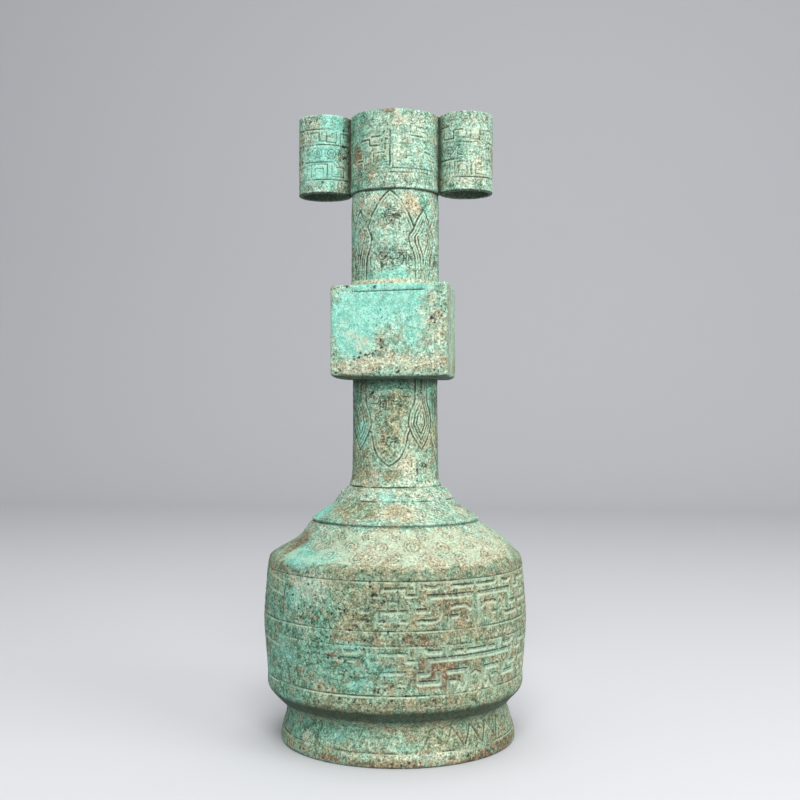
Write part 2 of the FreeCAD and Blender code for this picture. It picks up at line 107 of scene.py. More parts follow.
LEVEL = Levels()
RADIUS = Radii()
WALL = 2.3
EAR_OFFSET = 34.5
EAR_WALL = 1.8
EAR_HEIGHT = 38.0
BLOCK_WIDTH = 55.5
BLOCK_SLOPE = 1.6
CAMERA_TURN = 6.4
FRET_TURN = 5.65
FRET_UNITS = 5
HALF_UNIT = 180.0 / FRET_UNITS
FOOT_SHIFT = 1.3
SHOULDER_SHIFT = 2.6
SHOULDER_DRAWN = 0.5


class Tone(Enum):
    """Surface weights that the relief and the patches leave on a mesh for its finish to read."""

    # Slope of the relief: painted highlight on up-facing walls, painted shade on down-facing walls.
    LEDGE_HIGHLIGHT_SHADE = "ledge_highlight_shade"
    # Pale rims and lips: partly pale deposit, partly painted highlight on the lower lips of channels and
    # rings, on bead tops and along the base edge.
    RIM = "rim"
    # Dark lines in cuts; on the upper walls of channels and rings and under the beads they are painted
    # shade.
    LINE = "line"
    FILL = "fill"
    PITTED = "pitted"
    TEAL = "teal"
    SEA = "sea"
    MOSS = "moss"
    RUST = "rust"
    PALE = "pale"
    BLUSH = "blush"
    PITS = "pits"
    SHADE = "shade"


PATCH_TONES = (Tone.TEAL, Tone.SEA, Tone.MOSS, Tone.RUST, Tone.PALE, Tone.BLUSH, Tone.PITS, Tone.SHADE)


class Hand(Enum):
    """Side of the vase, as the sign of X."""

    LEFT = -1
    RIGHT = 1


def smooth_step(low: float, high: float, value: Array) -> Array:
    """Rises from 0 at low to 1 at high as 3t^2 - 2t^3; low may be the larger."""
    t = np.clip((value - low) / (high - low), 0.0, 1.0)
    return t * t * (3.0 - 2.0 * t)


def bell(value: Array, width: float) -> Array:
    """exp(-(value / width)^2)."""
    return np.exp(-((value / width) ** 2))


def wrapped(degrees: Array) -> Array:
    """Angle brought into -180 to 180 degrees."""
    return (degrees + 180.0) % 360.0 - 180.0


def folded(angle: Array, units: int, start: float) -> Array:
    """Signed angle from the nearest middle of several equal units, one of which has its middle at start."""
    pitch = 360.0 / units
    return (angle - start + pitch / 2) % pitch - pitch / 2


class Grain:
    """Seeded noise and spots on points in space."""

    def __init__(self, seed: int) -> None:
        """Keeps the seed that makes this grain differ from others."""
        self.seed = seed

    def chance(self, cells: Array, salt: int) -> Array:
        """Fixed random number from 0 to 1 for each cell of a cubic lattice, mixed from its three indices.

        Args:
            cells: lattice indices, (..., 3).
            salt: number that gives another set of random numbers.

        Returns:
            One number per cell.
        """
        whole = cells.astype(np.int64)
        mixed = whole[..., 0] * 73856093 ^ whole[..., 1] * 19349663 ^ whole[..., 2] * 83492791
        mixed = (mixed ^ (self.seed * 7919 + salt * 104729)) & 0xFFFFFFFF
        mixed = ((mixed ^ (mixed >> 15)) * 2246822519) & 0xFFFFFFFF
        mixed = ((mixed ^ (mixed >> 13)) * 3266489917) & 0xFFFFFFFF
        return ((mixed ^ (mixed >> 16)) & 0xFFFFFF) / float(0xFFFFFF)

    def smooth(self, points: Array, size: float) -> Array:
        """Value noise: random numbers at the corners of cells, blended by 3t^2 - 2t^3 along each axis.

        Args:
            points: places, (..., 3).
            size: width of a cell.

        Returns:
            Numbers from -1 to 1.
        """
        scaled = points / size
        corner = np.floor(scaled)
        part = scaled - corner
        part = part * part * (3.0 - 2.0 * part)
        total = np.zeros(points.shape[:-1])
        for step in np.ndindex(2, 2, 2):
            weight = np.prod(np.where(step, part, 1.0 - part), axis=-1)
            total += weight * self.chance(corner + step, 0)
        return 2.0 * total - 1.0

    def layered(self, points: Array, size: float, layers: int, shift: float = 0.0) -> Array:
        """Sum of noises, each half the size and 0.6 the strength of the one before, within -1 to 1."""
        weights = 0.6 ** np.arange(layers)
        noises = [w * self.smooth(points + shift + 31.7 * i, size / 2 ** i) for i, w in enumerate(weights)]
        return sum(noises) / weights.sum()

    def spots(self, points: Array, size: float, share: float, reach: float = 0.55) -> Array:
        """Round spots at random places, one at most in a cell: 1 - d / r within the nearest one's radius r.

        Args:
            points: places, (..., 3).
            size: width of a cell.
            share: part of the cells that hold a spot.
            reach: largest spot radius as a part of the cell.

        Returns:
            1 at a spot's middle, falling to 0 at its rim and beyond.
        """
        scaled = points / size
        cell = np.floor(scaled)
        best = np.zeros(points.shape[:-1])
        for step in np.ndindex(3, 3, 3):
            other = cell + np.array(step) - 1
            place = np.stack([self.chance(other, salt) for salt in (1, 2, 3)], axis=-1)
            middle = other + 0.5 + 0.7 * (place - 0.5)
            radius = reach * (0.35 + 0.65 * self.chance(other, 4))
            distance = np.linalg.norm(scaled - middle, axis=-1)
            here = np.clip(1.0 - distance / radius, 0.0, 1.0) * (self.chance(other, 5) < share)
            best = np.maximum(best, here)
        return best


GRAIN = Grain(27)


@dataclass(frozen=True)
class Stroke:
    """Straight carved line: start and end as (degrees, height above the band's foot), and its width."""

    start: Point
    end: Point
    width: float

    def edge(self, across: Array, up: Array, per_degree: float) -> Array:
        """Distance outside the line's edge: |p - a - t(b - a)| less half its width, with t held in 0 to 1.

        Args:
            across: millimetres from the unit's middle line.
            up: millimetres above the band's foot.
            per_degree: millimetres along the wall for each degree.

        Returns:
            Millimetres, below 0 inside the line.
        """
        a = np.array([self.start[0] * per_degree, self.start[1]])
        run = np.array([self.end[0] * per_degree, self.end[1]]) - a
        length = max(float(run @ run), 1e-9)
        t = np.clip(((across - a[0]) * run[0] + (up - a[1]) * run[1]) / length, 0.0, 1.0)
        return np.hypot(across - a[0] - t * run[0], up - a[1] - t * run[1]) - self.width / 2


def chain(width: float, *points: Point) -> list[Stroke]:
    """Strokes of one width that join several points in turn."""
    return [Stroke(a, b, width) for a, b in zip(points, points[1:])]


# Half of one fret unit, mirrored at its middle line: degrees from that line, then millimetres up the band.
UPPER_FRET = (
    chain(1.0, (0, 18.4), (5.4, 18.4), (5.4, 15.4), (9.5, 15.4), (9.5, 21.5))
    + chain(0.9, (0, 18.4), (0, 21.5))
    + chain(1.2, (13.4, 19.2), (15.0, 18.6), (17.8, 18.6), (19.0, 19.2))
    + chain(0.8, (21.7, 17.4), (21.7, 21.5))
    + chain(1.1, (24.7, 18.9), (34.7, 18.9))
    + chain(1.6, (HALF_UNIT, 0), (35.4, 12.8), (34.6, 14.8), (14.5, 14.8), (14.5, 8.8), (10.2, 8.8))
    + chain(1.1, (9.9, 4.2), (17.6, 4.3), (19.0, 5.2), (19.5, 7.4), (18.9, 10.2))
    + chain(1.2, (24.7, 9.8), (26.0, 10.5), (31.4, 10.5), (33.0, 8.9))
    + chain(1.1, (23.9, 0), (23.9, 5.7), (26.7, 5.8))
    + chain(0.9, (31.2, 4.0), (31.4, 4.0))
    + chain(1.1, (0, 8.5), (5.6, 8.5), (5.6, 4.3), (3.5, 4.2))
    + chain(0.9, (2.2, 8.5), (2.2, 12.7), (0, 12.7))
)
LOWER_FRET = (
    chain(1.1, (0, 18.6), (5.4, 18.6), (5.4, 15.4), (9.5, 15.4), (9.5, 22.1))
    + chain(1.5, (13.2, 20.4), (14.2, 19.3), (19.5, 19.2))
    + chain(1.2, (22.5, 17.2), (22.5, 22.1))
    + chain(1.5, (26.2, 18.9), (28.7, 18.9))
    + chain(1.3, (31.7, 18.9), (HALF_UNIT, 18.9))
    + chain(1.7, (HALF_UNIT, 16.0), (14.2, 15.8), (14.2, 9.7), (10.7, 9.7))
    + chain(0.8, (10.5, 9.7), (10.5, 5.6))
    + chain(1.7, (10.7, 5.6), (18.9, 5.6), (18.9, 10.2))
    + chain(1.6, (23.2, 10.1), (31.2, 10.1), (31.2, 6.2))
    + chain(1.2, (23.7, 0), (23.7, 5.8), (26.0, 5.8))
    + chain(0.8, (26.4, 0.8), (28.4, 5.4), (29.8, 1.4), (31.6, 5.6))
    + chain(1.2, (0, 10.2), (4.6, 10.2), (4.6, 5.2), (2.4, 5.2))
    + chain(1.1, (2.3, 0), (2.3, 3.2))
    + chain(1.0, (33.6, 1.2), (33.6, 7.8), (HALF_UNIT, 9.0))
)
# Collar and ears, not mirrored. Degrees from the camera's side of the collar or from the ear's own front.
COLLAR_FRET = (
    chain(0.75, (18, 15.6), (42, 15.2))
    + chain(0.8, (4, 11.6), (23, 11.9), (23, 13.8))
    + chain(0.6, (14, 8.2), (14, 5.8), (27, 5.8), (27, 3.4), (19, 3.4))
    + chain(1.2, (13.6, 5.0), (14.0, 5.0))
    + chain(0.8, (40, 8.4), (62, 6.8))
    + chain(0.5, (46, 4.8), (58, 4.4), (58, 2.2))
    + chain(0.5, (33, 17.8), (46, 17.2), (46, 13.4), (60, 12.6))
    + chain(0.8, (-31, 15.0), (-18, 15.2), (-14, 17.4))
    + chain(0.8, (-50, 13.6), (-34, 14.0), (-34, 10.9), (-20, 10.9))
    + chain(0.55, (-28, 2.8), (-28, 7.4), (-14, 7.4))
    + chain(0.7, (-30, -0.1), (-14, -0.1))
    + chain(0.5, (-58, 9.4), (-44, 9.0), (-44, 4.2), (-56, 4.2))
    + chain(0.9, (-6.6, 1.0), (-6.6, 18.4))
    + chain(0.6, (-12.5, 9.0), (-12.5, 13.8), (-9.5, 13.8))
)
EAR_UPPER_FRET = (
    chain(0.7, (-52, 6.4), (-52, 1.8), (-24, 1.8), (-24, 6.0), (-4, 6.0), (-4, 2.0), (10, 2.0))
    + chain(0.7, (12, 6.6), (12, 1.4), (34, 1.4), (34, 6.6))
    + chain(0.6, (44, 1.0), (44, 6.0), (70, 6.0), (70, 2.6), (54, 2.6))
    + chain(0.6, (-62, 1.0), (-62, 6.6), (-88, 6.6))
)
EAR_LOWER_FRET = (
    chain(0.7, (-22, 0.8), (-22, 7.2), (14, 7.2), (14, 0.8))
    + chain(0.5, (-13, 0.8), (-13, 5.2), (5, 5.2), (5, 0.8))
    + chain(0.6, (24, 6.6), (24, 1.4), (54, 1.4), (54, 6.0), (34, 6.0))
    + chain(0.6, (-34, 6.6), (-34, 1.4), (-64, 1.4), (-64, 6.0), (-44, 6.0))
    + chain(0.6, (70, 1.2), (70, 6.8))
)


def edges_of(strokes: list[Stroke], across: Array, up: Array, per_degree: float) -> Array:
    """Distance outside the nearest of several strokes."""
    nearest = np.full(across.shape, 9.0)
    for stroke in strokes:
        np.minimum(nearest, stroke.edge(across, up, per_degree), out=nearest)
    return nearest


def spiral_row(
    angle: Array, up: Array, units: int, per_degree: float, radius: float, pitch: float, start: float = 0.0
) -> Array:
    """Row of spirals round a band, each winding the other way from its neighbours.

    A spiral's line is (0.5 + 0.5 cos 2 pi (r / pitch - hand a / 2 pi))^2 at distance r and angle a from its
    middle.

    Args:
        angle: degrees round the piece.
        up: millimetres above the row's middle.
        units: number of spirals.
        per_degree: millimetres along the wall for each degree.
        radius: radius of a spiral.
        pitch: distance between its turns.
        start: middle of one spiral, in degrees.

    Returns:
        Carved share from 0 to 1.
    """
    across = folded(angle, units, start) * per_degree
    index = np.round((angle - start) / (360.0 / units))
    hand = np.where(index % 2 == 0, 1.0, -1.0)
    distance = np.hypot(across, up)
    phase = distance / pitch - hand * np.arctan2(up, across) / (2.0 * math.pi)
    return (0.5 + 0.5 * np.cos(2.0 * math.pi * phase)) ** 2 * smooth_step(radius, radius * 0.86, distance)


@dataclass(frozen=True)
class Leaf:
    """Upright leaf: half widths at distances from the block's face, from the root to the tip."""

    rises: tuple[float, ...]
    widths: tuple[float, ...]

    def inset(self, sideways: Array, rise: Array) -> Array:
        """Distance inside the leaf's edge: (w(rise) - |sideways|) / sqrt(1 + w'(rise)^2), w drawn smooth.

        Args:
            sideways: millimetres from the leaf's middle line.
            rise: millimetres from the block's face.

        Returns:
            Millimetres, above 0 inside and below 0 outside.
        """
        fine = np.linspace(-2.0, self.rises[-1] + 6.0, 400)
        slope_out = (self.widths[-2] - self.widths[-1]) / (self.rises[-2] - self.rises[-1])
        width = np.interp(fine, self.rises, self.widths)
        width = np.where(fine > self.rises[-1], (fine - self.rises[-1]) * slope_out, width)
        kernel = np.hanning(25)
        padded = np.pad(width, 12, mode="edge")
        width = np.convolve(padded, kernel / kernel.sum(), mode="valid")
        slope = np.gradient(width, fine)
        lean = np.sqrt(1.0 + np.interp(rise, fine, slope) ** 2)
        return (np.interp(rise, fine, width) - np.abs(sideways)) / lean


LARGE_UP = Leaf(
    (0.0, 12.0, 20.0, 28.9, 34.0, 39.9, 42.6, 44.6), (14.6, 14.6, 14.0, 11.1, 8.7, 5.0, 2.7, 0.0))
SMALL_UP = Leaf(
    (0.0, 8.9, 12.9, 18.9, 22.9, 26.4, 30.9, 35.9), (4.0, 4.3, 4.7, 6.9, 7.7, 5.4, 3.2, 0.0))
LARGE_DOWN = Leaf(
    (0.0, 12.0, 19.0, 27.5, 33.5, 38.4, 40.6, 42.2), (13.8, 13.8, 12.9, 9.0, 7.6, 5.0, 2.8, 0.0))
SMALL_DOWN = Leaf(
    (0.0, 8.0, 11.6, 17.0, 22.6, 27.0, 31.0, 34.7), (3.4, 3.4, 3.6, 6.0, 7.1, 5.2, 2.8, 0.0))


@dataclass(frozen=True)
class Patch:
    """Soft-edged area of one tone: middle and half sizes in degrees and millimetres."""

    tone: Tone
    angle: float
    level: float
    half_angle: float
    half_level: float
    strength: float = 1.0

    def weight(self, angle: Array, level: Array) -> Array:
        """Strength times exp(-(d^2)^1.5), where d is the distance in half sizes."""
        across = wrapped(angle - self.angle) / self.half_angle
        up = (level - self.level) / self.half_level
        return self.strength * np.exp(-((across ** 2 + up ** 2) ** 1.5))


def areas(tone: Tone, *places: tuple[float, ...]) -> list[Patch]:
    """Patches of one tone, each given as (angle, level, half angle, half level, strength)."""
    return [Patch(tone, *place) for place in places]


def worn_profile(corners: list[Point], step: float, wear: float) -> Array:
    """Points a step apart along a line of corners, rounded by a bell-shaped average of width wear.

    Args:
        corners: (radius, level) of each corner.
        step: distance between points.
        wear: width over which the corners are averaged.

    Returns:
        Points, (count, 2). The ends stay where they are.
    """
    path = np.array(corners, float)
    lengths = np.concatenate([[0.0], np.cumsum(np.linalg.norm(np.diff(path, axis=0), axis=1))])
    count = max(int(round(lengths[-1] / step)), 2)
    places = np.linspace(0.0, lengths[-1], count + 1)
    points = np.stack([np.interp(places, lengths, path[:, i]) for i in (0, 1)], axis=1)
    reach = min(max(int(round(wear / step)), 1), count)
    weights = np.hanning(2 * reach + 3)[1:-1]
    before = 2 * points[0] - points[reach:0:-1]
    after = 2 * points[-1] - points[-2:-2 - reach:-1]
    long = np.concatenate([before, points, after])
    return np.stack([np.convolve(long[:, i], weights / weights.sum(), mode="valid") for i in (0, 1)], axis=1)


def turned_points(profile: Array, columns: int) -> tuple[Array, Array]:
    """Profile turned about the vase's axis: (r sin a, -r cos a, z) for angles a round the full circle.

    Args:
        profile: (radius, level) points.
        columns: number of angles.

    Returns:
        Points, (rows, columns, 3), and the angles in degrees, (rows, columns).
    """
    angle = np.broadcast_to(np.linspace(-180.0, 180.0, columns, endpoint=False), (len(profile), columns))
    turn = np.radians(angle)
    level = np.broadcast_to(profile[:, 1:], angle.shape)
    return np.stack([profile[:, :1] * np.sin(turn), -profile[:, :1] * np.cos(turn), level], axis=2), angle


class Skin:
    """Outer face of a piece as a grid, with the relief and the surface weights that are laid on it.

    Rows run upwards and columns run round and join. Outward directions are (dP/dcolumn) x (dP/drow).
    """

    def __init__(self, points: Array, angle: Array, shift: float = 0.0) -> None:
        """Starts a plain skin.

        Args:
            points: grid of places, (rows, columns, 3).
            angle: degrees round the piece, (rows, columns).
            shift: offset of the grain along X, so that equal pieces wear differently.
        """
        along = np.roll(points, -1, axis=1) - np.roll(points, 1, axis=1)
        upward = np.gradient(points, axis=0)
        normals = np.cross(along, upward)
        self.points = points
        self.normals = normals / np.maximum(np.linalg.norm(normals, axis=2, keepdims=True), 1e-9)
        self.angle = angle
        self.level = points[:, :, 2]
        self.seat = points + np.array([shift, 0.0, 0.0])
        self.steps = np.maximum(np.linalg.norm(upward, axis=2), 1e-6)
        self.spans = np.maximum(np.linalg.norm(along, axis=2) / 2.0, 1e-6)
        self.height = np.zeros(angle.shape)
        self.weights = {tone: np.zeros(angle.shape) for tone in Tone}

    def noise(self, size: float, layers: int, shift: float) -> Array:
        """Layered noise at the skin's places."""
        return GRAIN.layered(self.seat, size, layers, shift)

    def left_by_wear(self, least: float, size: float, shift: float) -> Array:
        """Share of a carving that wear has left, from least to 1 in patches."""
        return least + (1.0 - least) * smooth_step(-0.4, 0.35, self.noise(size, 3, shift))

    def mark(self, tone: Tone, share: Array | float) -> None:
        """Raises a weight to at least the given share."""
        np.maximum(self.weights[tone], share, out=self.weights[tone])

    def cut(self, share: Array, depth: float, line: float = 0.0) -> None:
        """Cuts down to depth times share where that is lower, and darkens the cut."""
        np.minimum(self.height, -depth * share, out=self.height)
        self.mark(Tone.LINE, line * share)

    def lift(self, share: Array, height: float) -> None:
        """Raises the skin by height times share."""
        self.height += height * share

    def channels(
        self, edge: Array, depth: float, keep: Array | float, rim: float, fill: float, line: float
    ) -> None:
        """Flat-floored channels with a pale lower rim and a dark upper wall.

        The way in which the edge distance falls tells the rim from the wall. The dark upper wall is painted
        shade; the pale rim is partly pale deposit and partly a painted highlight, strongest on the lower,
        up-facing edge.

        Args:
            edge: distance outside the channels.
            depth: their depth.
            keep: share that wear has left.
            rim: strength of the pale rim, partly a painted highlight.
            fill: strength of the pale fill on the floor.
            line: strength of the dark wall, which is painted shade.
        """
        self.cut(smooth_step(0.2, -0.25, edge) * keep, depth)
        slope = np.clip(np.gradient(edge, axis=0) / self.steps, -1.0, 1.0)
        near = bell(edge + 0.05, 0.38) * keep
        outside = bell(edge - 0.6, 0.36) * keep
        # Pale rim on the lower, up-facing edge: partly pale deposit, partly painted highlight. Dark upper
        # wall: painted shade.
        self.mark(Tone.RIM, rim * (near * np.clip(0.6 - 0.7 * slope, 0.0, 1.0) + 0.4 * outside))
        self.mark(Tone.LINE, line * near * np.clip(0.15 + 0.85 * slope, 0.0, 1.0))
        self.mark(Tone.FILL, fill * smooth_step(0.0, -0.35, edge) * keep)

    def ring(
        self, level: float, depth: float = 0.5, line: float = 0.75, rim: float = 0.8, wave: float = 0.0
    ) -> None:
        """V-shaped ring line with a dark upper side of painted shade and a pale lower lip of painted
        highlight, drifting up and down by wave.
        """
        drift = wave * self.noise(11.0, 2, 77.0 + level) if wave else 0.0
        away = self.level - level + drift
        keep = self.left_by_wear(0.25, 8.0, 70.0 + level)
        self.cut(np.clip(1.0 - np.abs(away) / 0.6, 0.0, 1.0) * (0.5 + 0.5 * keep), depth)
        # Dark upper side: painted shade; pale lower lip: painted highlight.
        self.mark(Tone.LINE, line * bell(away - 0.12, 0.34) * keep)
        self.mark(Tone.RIM, rim * bell(away + 0.55, 0.33) * keep)

    def curls(
        self, share: Array | float, size: float, turns: float, shift: float, line: float = 0.55
    ) -> None:
        """Dense small scrollwork, worn to curling lines of one width along the contours of a smooth noise n.

        The distance from a contour is |t n - round(t n)| / |grad t n|, with t turns.

        Args:
            share: share of the work that is left.
            size: size of the noise's cells.
            turns: contours from the noise's middle to its peak.
            shift: place in the noise.
            line: darkness of the lines.
        """
        waves = turns * GRAIN.smooth(self.seat + shift, size)
        across = (np.roll(waves, -1, axis=1) - np.roll(waves, 1, axis=1)) / (2.0 * self.spans)
        slope = np.hypot(np.gradient(waves, axis=0) / self.steps, across)
        lines = bell(np.abs(waves - np.round(waves)) / np.maximum(slope, 0.15), 0.33) * share
        self.height -= 0.16 * lines
        self.mark(Tone.LINE, line * lines)

    def scar(self, *places: tuple[float, ...]) -> None:
        """Crumbles the skin into dark marks over places that are given as areas() takes them."""
        crumbs = smooth_step(0.1, 0.5, self.noise(1.6, 3, 1400.0) + 0.25 * self.noise(5.0, 2, 1450.0))
        for patch in areas(Tone.PITTED, *places):
            share = np.clip(crumbs * patch.weight(self.angle, self.level), 0.0, 1.0)
            self.height -= 0.3 * share
            self.mark(Tone.PITTED, 0.8 * share)

    def paint(self, patches: list[Patch]) -> None:
        """Lays the patches of tone, their edges broken by noise, less for small patches."""
        drift = 5.0 * np.stack([GRAIN.layered(self.seat, 16.0, 3, s) for s in (300.0, 400.0)])
        for patch in patches:
            reach = 0.0 if patch.tone is Tone.SHADE else min(1.0, patch.half_level / 8.0)
            angle, level = self.angle + 2.2 * reach * drift[0], self.level + reach * drift[1]
            self.weights[patch.tone] += patch.weight(angle, level)

    def weather(self) -> None:
        """Adds slow waves, crust, fine grain and pits of corrosion."""
        pits = np.clip(self.weights[Tone.PITS], 0.0, 1.0)
        crust = np.clip(self.weights[Tone.TEAL] + self.weights[Tone.PALE] + self.weights[Tone.SEA], 0.0, 1.0)
        # Downward slope of the relief, which the finish paints as a highlight on up-facing walls and as
        # shade on down-facing walls.
        ledge_highlight_shade = -np.gradient(self.height, axis=0) / self.steps
        self.weights[Tone.LEDGE_HIGHLIGHT_SHADE] = np.clip(ledge_highlight_shade, -1.0, 1.0)
        drift = [GRAIN.smooth(self.seat + shift, 1.1) for shift in (11.0, 23.0, 37.0)]
        ragged = self.seat + 0.55 * np.stack(drift, axis=-1)
        small = GRAIN.spots(ragged, 1.7, 0.4, 0.6)
        large = GRAIN.spots(ragged + 50.0, 4.2, 0.12, 0.4)
        patchy = smooth_step(-0.15, 0.5, GRAIN.layered(self.seat, 9.0, 2, 200.0) + 1.25 * pits - 0.38)
        holes = np.maximum(
            smooth_step(0.0, 0.7, small) * (0.65 + 0.35 * pits),
            smooth_step(0.0, 0.8, large) * (0.3 + 0.7 * pits))
        holes = holes * (0.1 + 0.9 * patchy)
        self.height += 0.16 * GRAIN.layered(self.seat, 14.0, 2)
        self.height += (0.06 + 0.07 * crust) * GRAIN.layered(self.seat, 2.3, 3)
        self.height += (0.03 + 0.035 * pits) * GRAIN.smooth(self.seat + 90.0, 0.62)
        self.height -= (0.16 + 0.36 * pits) * holes
        self.mark(Tone.PITTED, 0.62 * holes)

    def finish(self, patches: list[Patch]) -> tuple[Array, dict[Tone, Array]]:
        """Paints and weathers the skin, and gives its final places and weights."""
        self.paint(patches)
        self.weather()
        for tone in PATCH_TONES:
            self.weights[tone] = np.clip(self.weights[tone], 0.0, 1.0)
        return self.points + self.normals * self.height[:, :, None], self.weights


def leaves(
    skin: Skin, turn: float, rise: Array, radius: float, large: Leaf, small: Leaf, least: float, most: float
) -> None:
    """Four large leaves with four small ones before them: outlines, inner lines, scrolls and chevrons.

    Args:
        skin: face that they are carved on.
        turn: degrees that the leaves are turned by.
        rise: millimetres from the block's face.
        radius: radius of the neck.
        large: shape of the large leaves.
        small: shape of the small leaves.
        least: share that is left where they are worn most.
        most: share that is left where they are worn least.
    """
    per_degree = math.radians(radius)
    wobble = 0.5 * skin.noise(6.0, 3, 620.0)
    in_large = large.inset(folded(skin.angle, 4, turn) * per_degree + wobble, rise)
    in_small = small.inset(folded(skin.angle, 4, turn + 45.0) * per_degree + wobble, rise)
    keep = most * skin.left_by_wear(least, 6.0, 910.0)
    behind = smooth_step(0.1, -0.3, in_small) * keep
    skin.lift(0.22 * smooth_step(0.1, 0.8, in_large) * behind + 0.34 * smooth_step(0.1, 0.8, in_small), 1.0)
    for inset, width, strength in ((0.0, 0.5, 1.0), (1.7, 0.36, 0.6), (3.1, 0.32, 0.45)):
        skin.cut(bell(in_large - inset, width) * behind * strength, 0.55, 1.1)
        skin.mark(Tone.RIM, 0.85 * strength * bell(in_large - inset - 0.85, 0.34) * behind)
    skin.mark(Tone.RIM, 0.6 * bell(in_large + 0.85, 0.34) * keep * smooth_step(0.1, -0.3, in_small))
    for inset, width, strength in ((0.0, 0.5, 1.0), (1.5, 0.34, 0.75), (2.9, 0.42, 0.9), (4.5, 0.42, 0.9)):
        skin.cut(bell(in_small - inset, width) * keep * strength, 0.55, 1.1)
        skin.mark(Tone.RIM, 0.85 * strength * bell(in_small - inset - 0.75, 0.3) * keep)
    inside = smooth_step(3.6, 4.4, in_large) * smooth_step(-0.6, -1.2, in_small)
    share = rise / large.rises[-1]
    busy = np.maximum(bell(share - 0.74, 0.13), bell(share - 0.28, 0.13))
    skin.curls(inside * (0.25 + 0.75 * busy), 3.4, 2.6, 905.0, 0.9)
    for hand in (-1.0, 1.0):
        scroll = spiral_row(
            folded(skin.angle, 4, turn) + hand * 8.5, rise - 0.3 * large.rises[-1], 1, per_degree, 3.8, 1.5)
        skin.cut(scroll * inside, 0.3, 0.6)


def mesh_object(
    name: str, points: Array, weights: dict[Tone, Array], poles: bool = False
) -> bpy.types.Object:
    """Closed mesh of a grid whose columns join round, and whose rows join round or end in two poles.

    Args:
        name: name of the object.
        points: grid of places in millimetres, (rows, columns, 3).
        weights: surface weights, each (rows, columns).
        poles: True to close the first and last rows by a fan each, False to join them to each other.

    Returns:
        The new object, placed at the origin.
    """
    rows, columns = points.shape[:2]
    index = np.arange(rows * columns).reshape(rows, columns)
    lower = index[:-1] if poles else index
    upper = index[1:] if poles else np.roll(index, -1, axis=0)
    quads = np.stack(
        [lower, np.roll(lower, -1, axis=1), np.roll(upper, -1, axis=1), upper], axis=2).reshape(-1, 4)
    flat = points.reshape(-1, 3) * MM
    faces = quads.tolist()
    if poles:
        flat = np.concatenate([flat, points[:1].mean(axis=1) * MM, points[-1:].mean(axis=1) * MM])
        first, last = rows * columns, rows * columns + 1
        start, end = index[0], index[-1]
        faces += np.stack([np.full(columns, first), np.roll(start, -1), start], axis=1).tolist()
        faces += np.stack([np.full(columns, last), end, np.roll(end, -1)], axis=1).tolist()
    mesh = bpy.data.meshes.new(name)
    mesh.from_pydata(flat, [], faces)
    for tone in Tone:
        values = np.zeros(len(flat), np.float32)
        if tone in weights:
            values[: rows * columns] = weights[tone].reshape(-1)
        mesh.attributes.new(tone.value, "FLOAT", "POINT").data.foreach_set("value", values)
    mesh.shade_smooth()
    mesh.update()
    item = bpy.data.objects.new(name, mesh)
    bpy.context.scene.collection.objects.link(item)
    return item


def enlist(item: bpy.types.Object, material: bpy.types.Material) -> int:
    """Gives a piece its finish and its place in the frame, and returns its number of triangles."""
    item.data.materials.append(material)
    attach(item, "root")
    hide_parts(NODE)
    triangles = len(item.data.loops) - 2 * len(item.data.polygons)
    log.info("%s: %d triangles", item.name, triangles)
    return triangles


def settled(points: Array) -> Array:
    """Moves the foot and the shoulder's middle towards +X and draws the shoulder in, as it was cast."""
    level = points[:, :, 2:]
    rise = np.clip((level - LEVEL.shoulder) / (LEVEL.ridge - LEVEL.shoulder), 0.0, 1.0)
    share = np.sin(math.pi * rise) ** 2
    shift = FOOT_SHIFT * smooth_step(22.0, 11.0, level) + SHOULDER_SHIFT * share
    radius = np.hypot(points[:, :, :1], points[:, :, 1:2])
    drawn = points * (1.0 - SHOULDER_DRAWN * share / np.maximum(radius, 1.0) * np.array([1.0, 1.0, 0.0]))
    return drawn + shift * np.array([1.0, 0.0, 0.0])


def shell(
    name: str, skin: Skin, patches: list[Patch], inner: list[Point], step: float = 4.0, offset: float = 0.0
) -> bpy.types.Object:
    """Closed ring of a turned piece: the finished outer face upwards, then the plain inner wall downwards.

    Args:
        name: name of the object.
        skin: outer face.
        patches: areas of tone.
        inner: (radius, level) corners of the inner wall, from the top down.
        step: distance between the inner wall's rows.
        offset: place of the piece's own axis along X.

    Returns:
        The new object.
    """
    outer, weights = skin.finish(patches)
    wall, _ = turned_points(worn_profile(inner, step, step), skin.angle.shape[1])
    for tone in Tone:
        inside = 1.0 if tone is Tone.SHADE else 0.0
        weights[tone] = np.concatenate([weights[tone], np.full(wall.shape[:2], inside)])
    points = np.concatenate([outer, wall]) + np.array([offset, 0.0, 0.0])
    return mesh_object(name, settled(points), weights)


